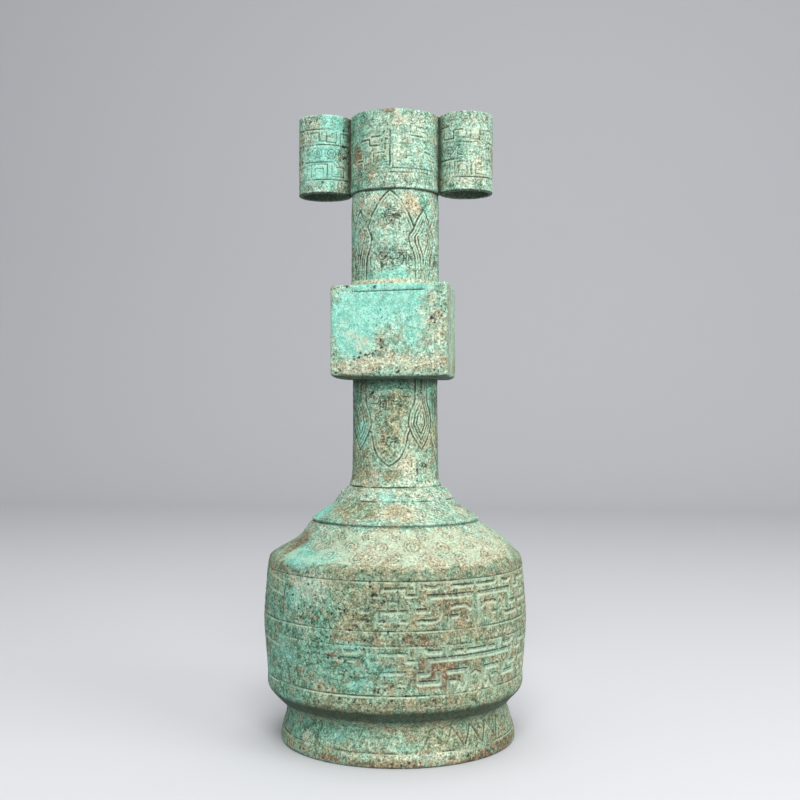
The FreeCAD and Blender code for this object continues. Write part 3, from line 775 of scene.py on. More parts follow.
BODY_PATCHES = (
    areas(Tone.MOSS, (0, 56, ALL_ROUND, 36, 0.8), (24, 70, 30, 16, 0.4), (-58, 72, 13, 18, 0.7),
          (60, 62, 26, 30, 0.35), (4, 74, 10, 9, 0.6), (-14, 72, 12, 14, 0.4),
          (0, 86, ALL_ROUND, 3.4, 0.9), (0, 27, ALL_ROUND, 3.6, 0.5))
    + areas(Tone.SEA, (-36, 66, 18, 28, 0.9), (-80, 60, 16, 36, 0.9), (-58, 40, 26, 15, 0.85),
            (-14, 47, 18, 10, 0.7), (8, 50, 12, 8, 0.4), (52, 49, 13, 6, 0.5), (-60, 28, 26, 7, 0.9),
            (-60, 66, 16, 12, 0.5), (150, 52, 50, 24, 0.7), (100, 70, 24, 12, 0.4), (-2, 38, 14, 6, 0.5))
    + areas(Tone.TEAL, (-82, 66, 8, 18, 0.6), (-38, 78, 12, 9, 0.5), (-8, 55, 10, 2.5, 0.6),
            (2, 46, 9, 6, 0.45), (-66, 36, 12, 8, 0.6), (4, 68, 8, 3.2, 0.45), (-44, 60, 9, 14, 0.4),
            (-50, 47, 12, 4, 0.5), (-6, 38, 9, 3, 0.5), (170, 60, 30, 14, 0.5))
    + areas(Tone.RUST, (25, 42, 7, 6, 1.1), (28, 48, 11, 3, 0.6), (14, 58, 9, 2.5, 0.6),
            (24, 73, 14, 8, 0.25), (15, 29, 34, 3, 0.35), (-4, 58, 9, 2, 0.5), (-20, 50.5, 2.4, 1.1, 1.6),
            (62, 36, 10, 6, 0.4), (30, 68, 22, 14, 0.3), (30, 40, 24, 10, 0.3), (178, 80, 26, 8, 0.5),
            (120, 38, 24, 8, 0.7), (-130, 60, 26, 12, 0.5))
    + areas(Tone.PALE, (-34, 82, 14, 5, 0.8), (-36, 72, 10, 10, 0.45), (58, 58, 10, 3.5, 0.45),
            (-30, 60, 8, 5, 0.4), (-62, 30, 14, 3, 0.4), (-120, 84, 40, 9, 0.4), (62, 49, 10, 4, 0.3))
    + areas(Tone.BLUSH, (20, 77, 12, 4, 0.3), (60, 57, 10, 3, 0.5), (-30, 76, 12, 7, 0.4))
    + areas(Tone.PITS, (-33, 72, 15, 18, 1.0), (2, 76, 14, 9, 1.0), (-2, 60, 20, 8, 1.0),
            (-12, 66, 14, 12, 0.9), (-24, 52, 26, 12, 0.8), (-2, 30, 60, 4, 1.0), (60, 45, 30, 20, 0.5),
            (-58, 60, 12, 24, 0.6), (170, 60, 60, 20, 0.5), (4, 38, 22, 8, 0.6))
    + areas(Tone.SHADE, (-92, 60, 26, 60, 0.4), (112, 60, 28, 60, 0.3), (0, 85.6, ALL_ROUND, 2.6, 0.22),
            (0, 28.2, ALL_ROUND, 2.6, 0.15), (3, 75, 9, 6, 0.18), (34, 60, 50, 30, 0.19))
)
BODY_SCARS = ((2, 77, 6, 4.5, 0.9), (-8, 66, 5, 4, 0.8), (-14, 79, 5, 3, 0.6), (-34, 68, 8, 8, 0.6),
              (-20, 50.5, 2, 1, 1.6), (-6, 42, 6, 3, 0.7), (-12, 30, 16, 1.5, 0.7), (12, 57, 7, 1.5, 0.7),
              (56, 46, 8, 4, 0.5))


@dataclass
class Body:
    """Foot, fretted belly, shoulder and its bands, as rings from one carved ring line to the next."""

    material: bpy.types.Material
    foot_step: float = 0.6
    foot_columns: int = 600
    foot_waist: Point = (54.15, 11.7)
    floor_columns: int = 96
    belly_step: float = 0.43
    belly_columns: int = 940
    shoulder_step: float = 0.5
    shoulder_columns: int = 800
    scroll_step: float = 0.44
    scroll_columns: int = 540
    floor_level: float = 18.6
    foot_hollow: float = 16.0
    zigzags: int = 33
    bead_count: int = 25

    def build(self) -> int:
        """Makes every ring from the floor up and returns their triangles."""
        makers = (self.foot, self.floor, self.lower_band, self.upper_band, self.shoulder, self.scroll_bands)
        return sum(enlist(make(), self.material) for make in makers)

    def foot(self) -> bpy.types.Object:
        """Foot ring, its zigzag, the crevice under the body and the plain band up to the lower fret."""
        profile = worn_profile([
            (RADIUS.lip - 0.9, 0.0), (RADIUS.lip, 0.5), (RADIUS.lip, 0.4 * LEVEL.lip),
            (RADIUS.lip_top, LEVEL.lip), self.foot_waist, (RADIUS.foot, LEVEL.foot),
            (RADIUS.base - 1.0, LEVEL.base - 2.8), (RADIUS.base, LEVEL.base - 0.8),
            (RADIUS.base, LEVEL.lower_fret)], self.foot_step, 0.9)
        skin = Skin(*turned_points(profile, self.foot_columns))
        per_degree = math.radians(54.5)
        local = np.abs(folded(skin.angle, self.zigzags, 34.0)) * per_degree
        half = 180.0 / self.zigzags * per_degree
        rise = skin.level - 7.6
        tooth = (rise - 8.8 * (1.0 - local / half)) / math.hypot(1.0, 8.8 / half)
        band = smooth_step(-0.2, 0.4, rise) * smooth_step(9.4, 8.6, rise)
        clear = np.exp(-(wrapped(skin.angle - 52) / 28.0) ** 4)
        keep = np.maximum(skin.left_by_wear(0.15, 14.0, 700.0) * 0.75, clear) * band
        skin.cut(bell(tooth, 0.42) * keep, 0.5, 0.85)
        skin.cut(bell(tooth - 1.2, 0.36) * keep * smooth_step(0.0, 1.0, tooth), 0.3, 0.5)
        skin.mark(Tone.RIM, 0.55 * bell(tooth + 0.8, 0.4) * keep)
        crumbs = smooth_step(0.3, 0.8, skin.noise(1.6, 2, 50.0) + 0.5)
        skin.mark(Tone.LINE, 0.45 * smooth_step(0.4, 1.2, tooth) * keep * clear * crumbs)
        skin.ring(LEVEL.lip, 0.6, 0.8, 0.7, 0.3)
        skin.ring(LEVEL.lower_fret)
        # Pale line along the base's rounded edge, broken into patches: a painted highlight.
        base_edge_highlight = 0.6 * bell(skin.level - LEVEL.base + 0.4, 0.45) * skin.left_by_wear(0.2, 6.0, 720.0)
        skin.mark(Tone.RIM, base_edge_highlight)
        skin.scar(*BODY_SCARS, (34, 3, 30, 1.6, 0.7), (-36, 9, 5, 3, 0.6))
        patches = BODY_PATCHES + (
            areas(Tone.SHADE, (0, 23.2, ALL_ROUND, 3.0, 1.0), (0, 20.6, ALL_ROUND, 4.4, 0.45),
                  (0, -0.6, ALL_ROUND, 1.2, 0.9), (-70, 12, 26, 12, 0.1), (62, 10, 30, 12, 0.12))
            + areas(Tone.MOSS, (0, 12, ALL_ROUND, 9, 0.4), (46, 9, 26, 9, 0.7), (0, 4, ALL_ROUND, 3, 0.6))
            + areas(Tone.SEA, (-62, 13, 24, 10, 1.0), (-20, 14, 24, 7, 0.6), (160, 10, 50, 8, 0.6))
            + areas(Tone.TEAL, (10, 8.6, 12, 2.6, 0.4), (-26, 12, 9, 4, 0.5), (-66, 10, 10, 6, 0.45),
                    (-46, 27, 10, 3, 0.5))
            + areas(Tone.RUST, (14, 1.5, 46, 2.4, 0.7), (66, 3, 20, 4, 0.7), (-28, 3, 10, 2, 0.5),
                    (-110, 8, 40, 8, 0.5))
            + areas(Tone.PALE, (10, 5.2, 46, 1.5, 0.7), (26, 9, 10, 2, 0.4), (-44, 9, 6, 4, 0.5))
            + areas(Tone.BLUSH, (24, 3, 20, 2.4, 0.6), (30, 12, 12, 4, 0.35))
            + areas(Tone.PITS, (30, 3, 46, 4, 0.8), (60, 10, 20, 6, 0.6), (-34, 9, 8, 5, 0.8))
        )
        inner = [
            (RADIUS.base - WALL, LEVEL.lower_fret), (RADIUS.base - WALL, LEVEL.base),
            (RADIUS.foot - 0.7 * WALL, self.floor_level), (RADIUS.foot - WALL, self.foot_hollow),
            (RADIUS.lip_top - WALL, LEVEL.lip), (RADIUS.lip_top - WALL, 0.0)]
        return shell("foot", skin, patches, inner)

    def floor(self) -> bpy.types.Object:
        """Floor of the vase, a flat disc closed at its middle."""
        reach = RADIUS.foot - WALL + 0.4
        corners = [(0.4, self.foot_hollow), (reach, self.foot_hollow), (reach, self.floor_level),
                   (0.4, self.floor_level)]
        points, _ = turned_points(worn_profile(corners, 3.0, 3.0), self.floor_columns)
        shade = {Tone.SHADE: np.ones(points.shape[:2])}
        return mesh_object("floor_plate", settled(points), shade, poles=True)

    def fret_band(
        self, name: str, corners: list[Point], foot: float, strokes: list[Stroke], weakest: float,
        fill: float, inner: list[Point]
    ) -> bpy.types.Object:
        """One fret band as a closed ring, its half unit mirrored ten times round.

        Args:
            name: name of the object.
            corners: (radius, level) of the outer face, upwards.
            foot: level that the strokes' heights start from.
            strokes: half of one unit.
            weakest: share of the fret that is left where it is worn most.
            fill: strength of the pale fill in its channels.
            inner: corners of the inner wall, downwards.

        Returns:
            The new object.
        """
        skin = Skin(*turned_points(worn_profile(corners, self.belly_step, 0.8), self.belly_columns))
        per_degree = math.radians(RADIUS.belly)
        wobble = 0.24 * np.stack([skin.noise(7.0, 2, s) for s in (610.0, 650.0)])
        across = np.abs(folded(skin.angle, FRET_UNITS, FRET_TURN)) * per_degree + wobble[0]
        edge = edges_of(strokes, across, skin.level - foot + wobble[1], per_degree) - 0.12
        left = np.exp(-((wrapped(skin.angle + 36) / 33.0) ** 4))
        front = np.exp(-((wrapped(skin.angle - 44) / 52.0) ** 6))
        fine = skin.left_by_wear(0.7, 3.5, 540.0)
        keep = np.maximum(skin.left_by_wear(0.45, 20.0, 500.0), front) * fine
        keep = keep * (1.0 - (1.0 - weakest) * left)
        skin.channels(edge, 0.6, keep, 0.95, fill, 0.95)
        floors = smooth_step(0.1, -0.3, edge) * bell(wrapped(skin.angle + 2), 16.0)
        skin.mark(Tone.LINE, 0.4 * floors * (1.0 - 0.8 * fill))
        skin.curls(0.7 * smooth_step(0.3, 1.0, edge) * (1.0 - front), 4.2, 2.0, 560.0, 0.6)
        for level in (LEVEL.lower_fret, LEVEL.middle, LEVEL.upper_fret, LEVEL.top_band):
            skin.ring(level, line=0.65, rim=0.7, wave=0.3)
        strip = np.exp(-((wrapped(skin.angle + 58) / 11.0) ** 8))
        seam = bell(wrapped(skin.angle + 47.5 + 1.5 * skin.noise(8.0, 2, 590.0)) * per_degree, 0.5)
        skin.cut(seam * smooth_step(62.0, 66.0, skin.level), 0.35, 0.7)
        for level, tilt in ((74.6, -0.10), (80.8, -0.12), (50.6, -0.05)):
            line = bell(skin.level - level - tilt * (skin.angle + 58), 0.4) * strip
            skin.cut(line, 0.3)
            skin.mark(Tone.RIM, 0.9 * line)
        skin.scar(*BODY_SCARS)
        return shell(name, skin, BODY_PATCHES, inner)

    def lower_band(self) -> bpy.types.Object:
        """Lower fret band and the plain band above it."""
        return self.fret_band(
            "lower_fret_band",
            [(RADIUS.base, LEVEL.lower_fret), (RADIUS.belly, LEVEL.middle),
             (RADIUS.belly, LEVEL.upper_fret)],
            LEVEL.lower_fret, LOWER_FRET, 0.6, 0.8,
            [(RADIUS.belly - WALL, LEVEL.upper_fret), (RADIUS.belly - WALL, LEVEL.middle),
             (RADIUS.base - WALL, LEVEL.lower_fret)])

    def upper_band(self) -> bpy.types.Object:
        """Upper fret band."""
        return self.fret_band(
            "upper_fret_band",
            [(RADIUS.belly, LEVEL.upper_fret), (RADIUS.top_band, LEVEL.top_band)],
            LEVEL.upper_fret, UPPER_FRET, 0.25, 0.12,
            [(RADIUS.top_band - WALL, LEVEL.top_band), (RADIUS.belly - WALL, LEVEL.upper_fret)])

    def shoulder(self) -> bpy.types.Object:
        """Plain band above the frets and the shoulder's main slope, with its worn scrollwork."""
        profile = worn_profile(
            [(RADIUS.top_band, LEVEL.top_band), (RADIUS.shoulder, LEVEL.shoulder),
             (RADIUS.ridge_seat, LEVEL.ridge)], self.shoulder_step, 1.5)
        skin = Skin(*turned_points(profile, self.shoulder_columns))
        up = (skin.level - LEVEL.shoulder) / (LEVEL.ridge - LEVEL.shoulder) * 27.0
        wobble = 0.8 * skin.noise(9.0, 2, 810.0)
        keep = skin.left_by_wear(0.3, 13.0, 840.0) * smooth_step(0.8, 3.0, up) * smooth_step(26.4, 25.0, up)
        clear = 0.95 * np.exp(-((wrapped(skin.angle - 42) / 18.0) ** 4)) * smooth_step(2.0, 4.0, up)
        keep = np.maximum(keep, clear)
        rows = ((4.0, 7.5, 4.4, 1.7), (12.2, 14.2, 4.2, 1.6), (4.0, 20.4, 3.4, 1.5))
        for start, height, radius, pitch in rows:
            per_degree = math.radians(58.0 - 0.55 * height)
            row = spiral_row(skin.angle, up - height + wobble, 22, per_degree, radius, pitch, start)
            skin.cut(row * keep, 0.3, 0.55)
            around = smooth_step(radius + 1.0, radius - 0.5, np.abs(up - height))
            skin.mark(Tone.RIM, 0.5 * (1.0 - row) ** 3 * keep * around)
        skin.curls(0.6 * keep, 4.2, 2.0, 850.0, 0.4)
        skin.ring(LEVEL.top_band)
        # Shallow groove under the raised ring, darkened as a painted shadow under its overhang.
        skin.cut(bell(skin.level - LEVEL.ridge + 0.25, 0.3), 0.2, 0.45)
        patches = BODY_PATCHES + (
            areas(Tone.MOSS, (2, 84, 14, 4, 0.4), (-26, 99, 16, 6, 0.55), (-70, 94, 16, 8, 0.5),
                  (60, 90, 30, 2.5, 0.3))
            + areas(Tone.PALE, (14, 97, 50, 8, 0.4), (62, 97, 30, 8, 0.4), (-120, 96, 60, 8, 0.5),
                    (-24, 95, 24, 8, 0.3))
            + areas(Tone.BLUSH, (22, 92, 36, 4, 1.0), (46, 95, 16, 5, 0.8), (0, 99, 12, 4, 0.6),
                    (10, 101, 20, 3, 0.4), (-16, 96, 5.5, 2.6, 1.0), (74, 98, 12, 8, 0.5),
                    (24, 97, 60, 9, 0.55))
            + areas(Tone.TEAL, (-44, 90.5, 12, 4.0, 1.0), (-28, 93, 7, 4.0, 0.7), (24, 102, 9, 3, 0.5),
                    (-54, 95, 8, 4, 0.5), (150, 95, 40, 8, 0.5))
            + areas(Tone.RUST, (-16, 95, 4, 1.8, 0.9), (-66, 97, 12, 6, 0.6), (24, 88.5, 40, 1.5, 0.45),
                    (46, 98, 10, 4, 0.3), (16, 93, 14, 3, 0.3))
            + areas(Tone.PITS, (-38, 88, 12, 3, 0.9), (4, 85, 16, 3, 0.9))
            + areas(Tone.SHADE, (0, LEVEL.ridge, ALL_ROUND, 0.5, 0.2), (0, 97, ALL_ROUND, 9, 0.08))
        )
        inner = [(RADIUS.ridge_seat - 3.7, LEVEL.ridge), (RADIUS.shoulder - WALL, LEVEL.shoulder - 1.1),
                 (RADIUS.top_band - WALL, LEVEL.top_band)]
        return shell("shoulder", skin, patches, inner)

    def scroll_bands(self) -> bpy.types.Object:
        """Raised ring, scroll band, small step and beaded band, up to the neck."""
        profile = worn_profile([
            (RADIUS.ridge_seat, LEVEL.ridge), (RADIUS.ridge, LEVEL.ridge + 1.1),
            (RADIUS.scrolls, LEVEL.scrolls), (RADIUS.step, LEVEL.step), (RADIUS.beads, LEVEL.beads),
            (RADIUS.neck, LEVEL.neck)], self.scroll_step, 0.7)
        skin = Skin(*turned_points(profile, self.scroll_columns))
        up = skin.level - LEVEL.scrolls
        band = smooth_step(0.3, 1.0, up) * smooth_step(5.9, 5.2, up)
        keep = skin.left_by_wear(0.35, 11.0, 870.0) * band
        keep = np.maximum(keep, band * np.exp(-((wrapped(skin.angle - 38) / 14.0) ** 4)))
        row = spiral_row(skin.angle, (up - 3.0) * 1.85, 20, math.radians(34.0), 4.2, 1.6, 8.0)
        skin.cut(row * keep, 0.35, 0.6)
        skin.curls(0.6 * keep, 3.2, 1.3, 860.0, 0.35)
        skin.ring(LEVEL.ridge + 1.9, 0.2, 0.4, 0.3, 0.2)
        skin.ring(LEVEL.beads, 0.4, 0.85, 0.5, 0.2)
        skin.ring(LEVEL.neck, 0.4, 0.85, 0.5, 0.2)
        across = folded(skin.angle, self.bead_count, 5.0) * math.radians(25.5)
        away = skin.level - LEVEL.beads - 3.1
        bead = np.hypot(across, away * math.sqrt(2.0)) / 1.15
        kept = np.clip(skin.left_by_wear(0.3, 6.0, 885.0), 0.0, 1.0)
        dome = np.sqrt(np.clip(1.0 - bead ** 2, 0.0, 1.0)) * kept
        skin.lift(dome, 0.8)
        skin.mark(Tone.TEAL, 0.8 * dome)
        # Painted shadow under each bead and a painted highlight on its upper half.
        below = bell(np.hypot(across, away * 1.4 + 1.0) - 0.9, 0.45) * (away < -0.3)
        skin.mark(Tone.LINE, 0.6 * below * kept)
        skin.mark(Tone.RIM, 0.6 * bell(np.hypot(across, away * 1.4 - 0.5), 0.55) * kept)
        patches = (
            areas(Tone.MOSS, (0, 111, ALL_ROUND, 4, 0.35), (-26, 111, 22, 4, 0.6))
            + areas(Tone.PALE, (20, 110, 40, 4, 0.6), (0, 118.5, ALL_ROUND, 3, 0.5),
                    (170, 114, 60, 8, 0.5))
            + areas(Tone.BLUSH, (6, 110, 20, 4, 0.8), (70, 111, 16, 4, 0.5), (30, 118, 20, 2.5, 0.5))
            + areas(Tone.TEAL, (-74, 109, 22, 4, 0.9), (-2, 117, 12, 2.2, 0.7), (60, 108, 14, 3, 0.4),
                    (34, 112, 8, 3, 0.3))
            + areas(Tone.SEA, (-40, 106, 24, 1.6, 0.7), (70, 119, 14, 3, 0.5))
            + areas(Tone.RUST, (-46, 116, 6, 2, 0.5), (90, 112, 20, 5, 0.4))
            + areas(Tone.PITS, (40, 119, 26, 3, 0.6), (38, 110, 14, 3, 0.6))
            + areas(Tone.SHADE, (0, LEVEL.ridge - 0.1, ALL_ROUND, 0.5, 0.5))
        )
        inner = [
            (RADIUS.neck - 3.25, LEVEL.neck), (RADIUS.beads - 3.25, LEVEL.beads),
            (RADIUS.step - 4.25, LEVEL.step), (RADIUS.scrolls - 4.25, LEVEL.scrolls),
            (RADIUS.ridge_seat - 3.7, LEVEL.ridge)]
        return shell("scroll_bands", skin, patches, inner)


@dataclass
class Necks:
    """Lower and upper neck with their leaves, the square block between them, and the mouth collar."""

    material: bpy.types.Material
    step: float = 0.42
    lower_columns: int = 320
    upper_columns: int = 330
    collar_columns: int = 340
    block_step: float = 0.62
    block_columns: int = 360
    block_bevel: float = 1.6
    block_power: int = 28

    def build(self) -> int:
        """Makes the pieces from the shoulder up and returns their triangles."""
        makers = (self.lower_neck, self.block, self.upper_neck, self.collar)
        return sum(enlist(make(), self.material) for make in makers)

    def lower_neck(self) -> bpy.types.Object:
        """Neck under the block, with leaves that hang from it."""
        top = LEVEL.block + 1.4
        profile = worn_profile([
            (RADIUS.neck, LEVEL.neck), (RADIUS.neck - 1.2, LEVEL.neck + 3.75),
            (RADIUS.lower_neck + 0.3, LEVEL.neck + 8.5), (RADIUS.lower_neck, LEVEL.neck + 26.0),
            (RADIUS.lower_neck, LEVEL.block - 1.6), (RADIUS.lower_neck + 0.8, top)], self.step, 1.2)
        skin = Skin(*turned_points(profile, self.lower_columns))
        leaves(skin, -1.5, LEVEL.block - skin.level, RADIUS.lower_neck, LARGE_DOWN, SMALL_DOWN, 0.6, 0.9)
        skin.curls(0.4, 4.0, 1.8, 930.0, 0.35)
        skin.scar((42, 131, 12, 4, 1.0), (-26, 164, 5, 5, 0.8), (44, 146, 5, 6, 0.8))
        skin.ring(LEVEL.neck, 0.4, 0.9, 0.4, 0.2)
        patches = (
            areas(Tone.MOSS, (0, 150, ALL_ROUND, 34, 0.5), (-50, 128, 18, 9, 1.0), (4, 126, 8, 4, 1.0),
                  (10, 164, 16, 8, 0.6), (90, 148, 24, 30, 0.5), (4, 147, 14, 8, 0.3))
            # The full sea band at 171 tints the painted shade under the block green.
            + areas(Tone.SEA, (-62, 158, 18, 16, 1.0), (0, 171, ALL_ROUND, 4, 1.0),
                    (70, 160, 14, 12, 0.6), (160, 150, 40, 16, 0.7), (80, 130, 12, 10, 0.6))
            + areas(Tone.TEAL, (-46, 148, 12, 9, 0.8), (-6, 165, 9, 5, 0.5), (-30, 160, 8, 12, 0.35),
                    (56, 166, 9, 6, 0.5), (150, 140, 26, 12, 0.4))
            + areas(Tone.RUST, (-42, 127, 7, 5, 0.2), (-30, 166, 6, 4, 0.4), (100, 140, 20, 12, 0.4))
            + areas(Tone.PALE, (24, 132, 18, 8, 0.75), (2, 150, 20, 12, 0.3),
                    (0, 123, ALL_ROUND, 2.2, 0.6))
            + areas(Tone.BLUSH, (22, 134, 14, 8, 0.7), (-22, 128, 10, 5, 0.5), (18, 156, 8, 8, 0.4),
                    (32, 150, 8, 9, 0.5))
            + areas(Tone.PITS, (40, 128, 22, 6, 0.9), (-150, 140, 40, 16, 0.5), (64, 138, 14, 12, 0.6))
            + areas(Tone.SHADE, (0, LEVEL.block - 0.2, ALL_ROUND, 4.0, 1.0), (-90, 150, 28, 40, 0.6),
                    (104, 150, 26, 40, 0.45))
        )
        inner = [(RADIUS.lower_neck - WALL, top), (RADIUS.lower_neck - WALL, LEVEL.neck + 7.5),
                 (RADIUS.neck - 3.3, LEVEL.neck)]
        return shell("lower_neck", skin, patches, inner, 8.0)

    def upper_neck(self) -> bpy.types.Object:
        """Neck over the block, with leaves that stand on it."""
        bottom = LEVEL.block_top - 1.6
        profile = worn_profile([
            (RADIUS.upper_neck + 1.3, bottom), (RADIUS.upper_neck + 1.2, LEVEL.block_top + 0.6),
            (RADIUS.upper_neck, LEVEL.block_top + 2.4), (RADIUS.upper_neck, LEVEL.collar - 5.5),
            (RADIUS.upper_neck - 0.4, LEVEL.collar - 2.2), (RADIUS.upper_neck - 0.4, LEVEL.collar + 0.4)],
            self.step, 0.9)
        skin = Skin(*turned_points(profile, self.upper_columns))
        leaves(skin, 0.0, skin.level - LEVEL.block_top, RADIUS.upper_neck, LARGE_UP, SMALL_UP, 0.5, 1.0)
        skin.curls(0.45, 3.8, 2.0, 950.0, 0.4)
        skin.scar((0, 249, 9, 4, 0.8), (-4, 228, 12, 4, 0.8), (-60, 236, 6, 6, 0.7))
        skin.height *= smooth_step(LEVEL.block_top + 1.6, LEVEL.block_top + 3.0, skin.level)
        for tone in (Tone.LINE, Tone.RIM):
            skin.weights[tone] *= smooth_step(LEVEL.block_top + 1.6, LEVEL.block_top + 3.0, skin.level)
        seam = skin.level - LEVEL.collar + 0.2 + 0.5 * skin.noise(9.0, 2, 955.0)
        skin.mark(Tone.LINE, 0.9 * bell(seam, 0.55))
        patches = (
            areas(Tone.TEAL, (-62, 240, 14, 9, 0.6), (0, 221, 30, 4, 0.75), (-4, 238, 16, 8, 0.45),
                  (-14, 262, 8, 3, 0.6), (170, 240, 50, 16, 0.6), (-34, 222, 10, 5, 0.4))
            + areas(Tone.SEA, (-74, 240, 16, 30, 0.45), (46, 257, 12, 6, 0.7), (84, 240, 12, 30, 0.4),
                    (-40, 252, 10, 8, 0.35))
            + areas(Tone.MOSS, (-30, 250, 8, 6, 0.6), (22, 247, 6, 5, 0.5), (-50, 230, 14, 12, 0.3),
                    (110, 240, 24, 14, 0.4))
            + areas(Tone.RUST, (-38, 257, 5, 3, 0.5), (22, 249, 4, 3, 0.4))
            + areas(Tone.PALE, (24, 254, 22, 7, 0.5), (0, 218.4, ALL_ROUND, 1.6, 1.0),
                    (44, 236, 12, 12, 0.5), (-22, 257, 14, 4, 0.6), (0, 240, 20, 16, 0.25),
                    (64, 244, 10, 20, 0.4))
            + areas(Tone.BLUSH, (28, 254, 13, 6, 1.0), (34, 236, 10, 8, 0.6),
                    (0, 218.2, ALL_ROUND, 1.2, 0.7), (-4, 246, 16, 6, 0.4))
            + areas(Tone.PITS, (0, 248, 14, 5, 1.0), (4, 229, 16, 5, 0.9), (-62, 232, 12, 14, 0.7))
            + areas(Tone.SHADE, (0, LEVEL.collar + 0.2, ALL_ROUND, 0.8, 0.8), (-98, 240, 24, 40, 0.45),
                    (106, 240, 24, 40, 0.3), (88, 262, 30, 3, 0.6), (-88, 262, 30, 3, 0.6))
        )
        inner = [(RADIUS.upper_neck - WALL, LEVEL.collar + 0.4), (RADIUS.upper_neck - WALL, bottom)]
        return shell("upper_neck", skin, patches, inner, 8.0)

    def collar(self) -> bpy.types.Object:
        """Mouth collar with its two scroll bands, its fret and its rounded rim."""
        bore = RADIUS.upper_neck - WALL
        profile = worn_profile([
            (RADIUS.upper_neck - 0.8, LEVEL.collar), (RADIUS.collar, LEVEL.collar + 0.3),
            (RADIUS.collar, LEVEL.mouth - 0.7), (RADIUS.collar - 0.7, LEVEL.mouth),
            (bore + 0.4, LEVEL.mouth - 0.1)], self.step, 0.7)
        skin = Skin(*turned_points(profile, self.collar_columns))
        per_degree = math.radians(RADIUS.collar)
        wobble = 0.25 * skin.noise(6.0, 2, 960.0)
        reach = np.hypot(skin.points[:, :, 0], skin.points[:, :, 1])
        wall = smooth_step(bore + 1.0, RADIUS.collar - 0.5, reach)
        local = folded(skin.angle, 2, CAMERA_TURN)
        edge = edges_of(COLLAR_FRET, local * per_degree + wobble, skin.level - 271.8 + wobble, per_degree)
        left = wall * skin.left_by_wear(0.45, 5.0, 975.0)
        skin.cut(smooth_step(0.15, -0.3, edge) * left, 0.45, 1.0)
        skin.mark(Tone.RIM, 0.75 * bell(edge - 0.5, 0.34) * left)
        for level, units, radius, pitch, start in ((296.2, 18, 3.4, 1.25, 2.0), (266.4, 20, 3.1, 1.2, 5.0)):
            row = spiral_row(skin.angle, skin.level - level, units, per_degree, radius, pitch, start)
            skin.cut(row * wall * skin.left_by_wear(0.4, 7.0, 980.0), 0.26, 0.7)
        skin.curls(0.8 * wall * smooth_step(0.3, 0.9, edge), 3.4, 2.2, 985.0, 0.6)
        for level in (291.6, 271.8, 269.9):
            skin.ring(level, 0.4, 0.75, 0.4, 0.5)
        middle = bell(local, 5.0) * wall
        skin.lift(middle, 0.25)
        patches = (
            areas(Tone.TEAL, (-40, 290, 24, 10, 0.35), (22, 281, 24, 10, 0.3), (50, 274, 12, 8, 0.35),
                  (170, 282, 60, 16, 0.6), (10, 297, 20, 4, 0.3))
            + areas(Tone.SEA, (-44, 290, 24, 11, 0.75), (-44, 266, 20, 6, 0.7), (-8, 279, 6, 14, 0.6),
                    (60, 281, 14, 16, 0.4), (-72, 281, 16, 24, 0.4))
            + areas(Tone.MOSS, (-22, 278, 18, 12, 0.35), (-30, 270, 14, 6, 0.4))
            + areas(Tone.RUST, (-50, 279, 9, 5, 1.0), (-46, 273, 7, 4, 0.5), (-2, 299, 10, 1.6, 0.9),
                    (-80, 281, 10, 20, 0.8), (86, 281, 10, 20, 0.6))
            + areas(Tone.PALE, (18, 295, 30, 5, 0.6), (7, 280, 4, 20, 0.8), (30, 284, 30, 10, 0.35),
                    (34, 268, 26, 5, 0.4))
            + areas(Tone.BLUSH, (-20, 284, 10, 8, 0.45), (-20, 268, 12, 4, 0.6), (26, 267, 20, 4, 0.3))
            + areas(Tone.PITS, (-48, 270, 12, 8, 0.7), (60, 285, 16, 14, 0.4), (0, 274, 5, 8, 0.6))
            + areas(Tone.SHADE, (90, 281, 15, 24, 0.8), (-90, 281, 15, 24, 0.8),
                    (0, LEVEL.collar - 0.1, ALL_ROUND, 0.6, 0.8))
        )
        inner = [(bore, LEVEL.mouth - 0.6), (bore, LEVEL.collar - 0.6)]
        return shell("mouth_collar", skin, patches, inner, 6.0)

    def block(self) -> bpy.types.Object:
        """Square block round the neck: rings that pass from the neck's circle to a rounded square and back.

        A ring of outward reach d is r0 + (R(a) - r0)(d - r0) / (h - r0), with the square's
        R(a) = h / (|cos a|^n + |sin a|^n)^(1/n) for half width h. The points are spaced evenly along the
        square's sides. Their heights follow the slope of the block's top, more the higher they are.

        Returns:
            The new object.
        """
        half = BLOCK_WIDTH / 2
        neck = RADIUS.lower_neck - 0.6
        bottom, top = LEVEL.block - 1.0, LEVEL.block_top
        bevel, power = self.block_bevel, self.block_power
        profile = worn_profile([
            (neck, bottom), (half - bevel, bottom), (half, bottom + bevel), (half, top), (neck, top)],
            self.block_step, 1.2)
        inner = worn_profile([
            (neck, top - WALL), (half - WALL, top - WALL), (half - WALL, bottom + WALL),
            (neck, bottom + WALL)], 6.0, 6.0)
        sides = np.linspace(-0.5, 3.5, self.block_columns, endpoint=False)
        side = np.floor(sides + 0.5)
        turn = np.radians(90.0 * side) + np.arctan(2.0 * (sides - side))
        square = half / (np.abs(np.cos(turn)) ** power + np.abs(np.sin(turn)) ** power) ** (1.0 / power)

        def rings(rows: Array) -> Array:
            """Places of the rings whose (reach, level) are given."""
            radius = neck + (square - neck) * (rows[:, :1] - neck) / (half - neck)
            x = radius * np.sin(turn)
            rise = (rows[:, 1:] - bottom) / (top - bottom)
            level = rows[:, 1:] + rise * math.tan(math.radians(BLOCK_SLOPE)) * x
            return np.stack([x, -radius * np.cos(turn), level], axis=2)

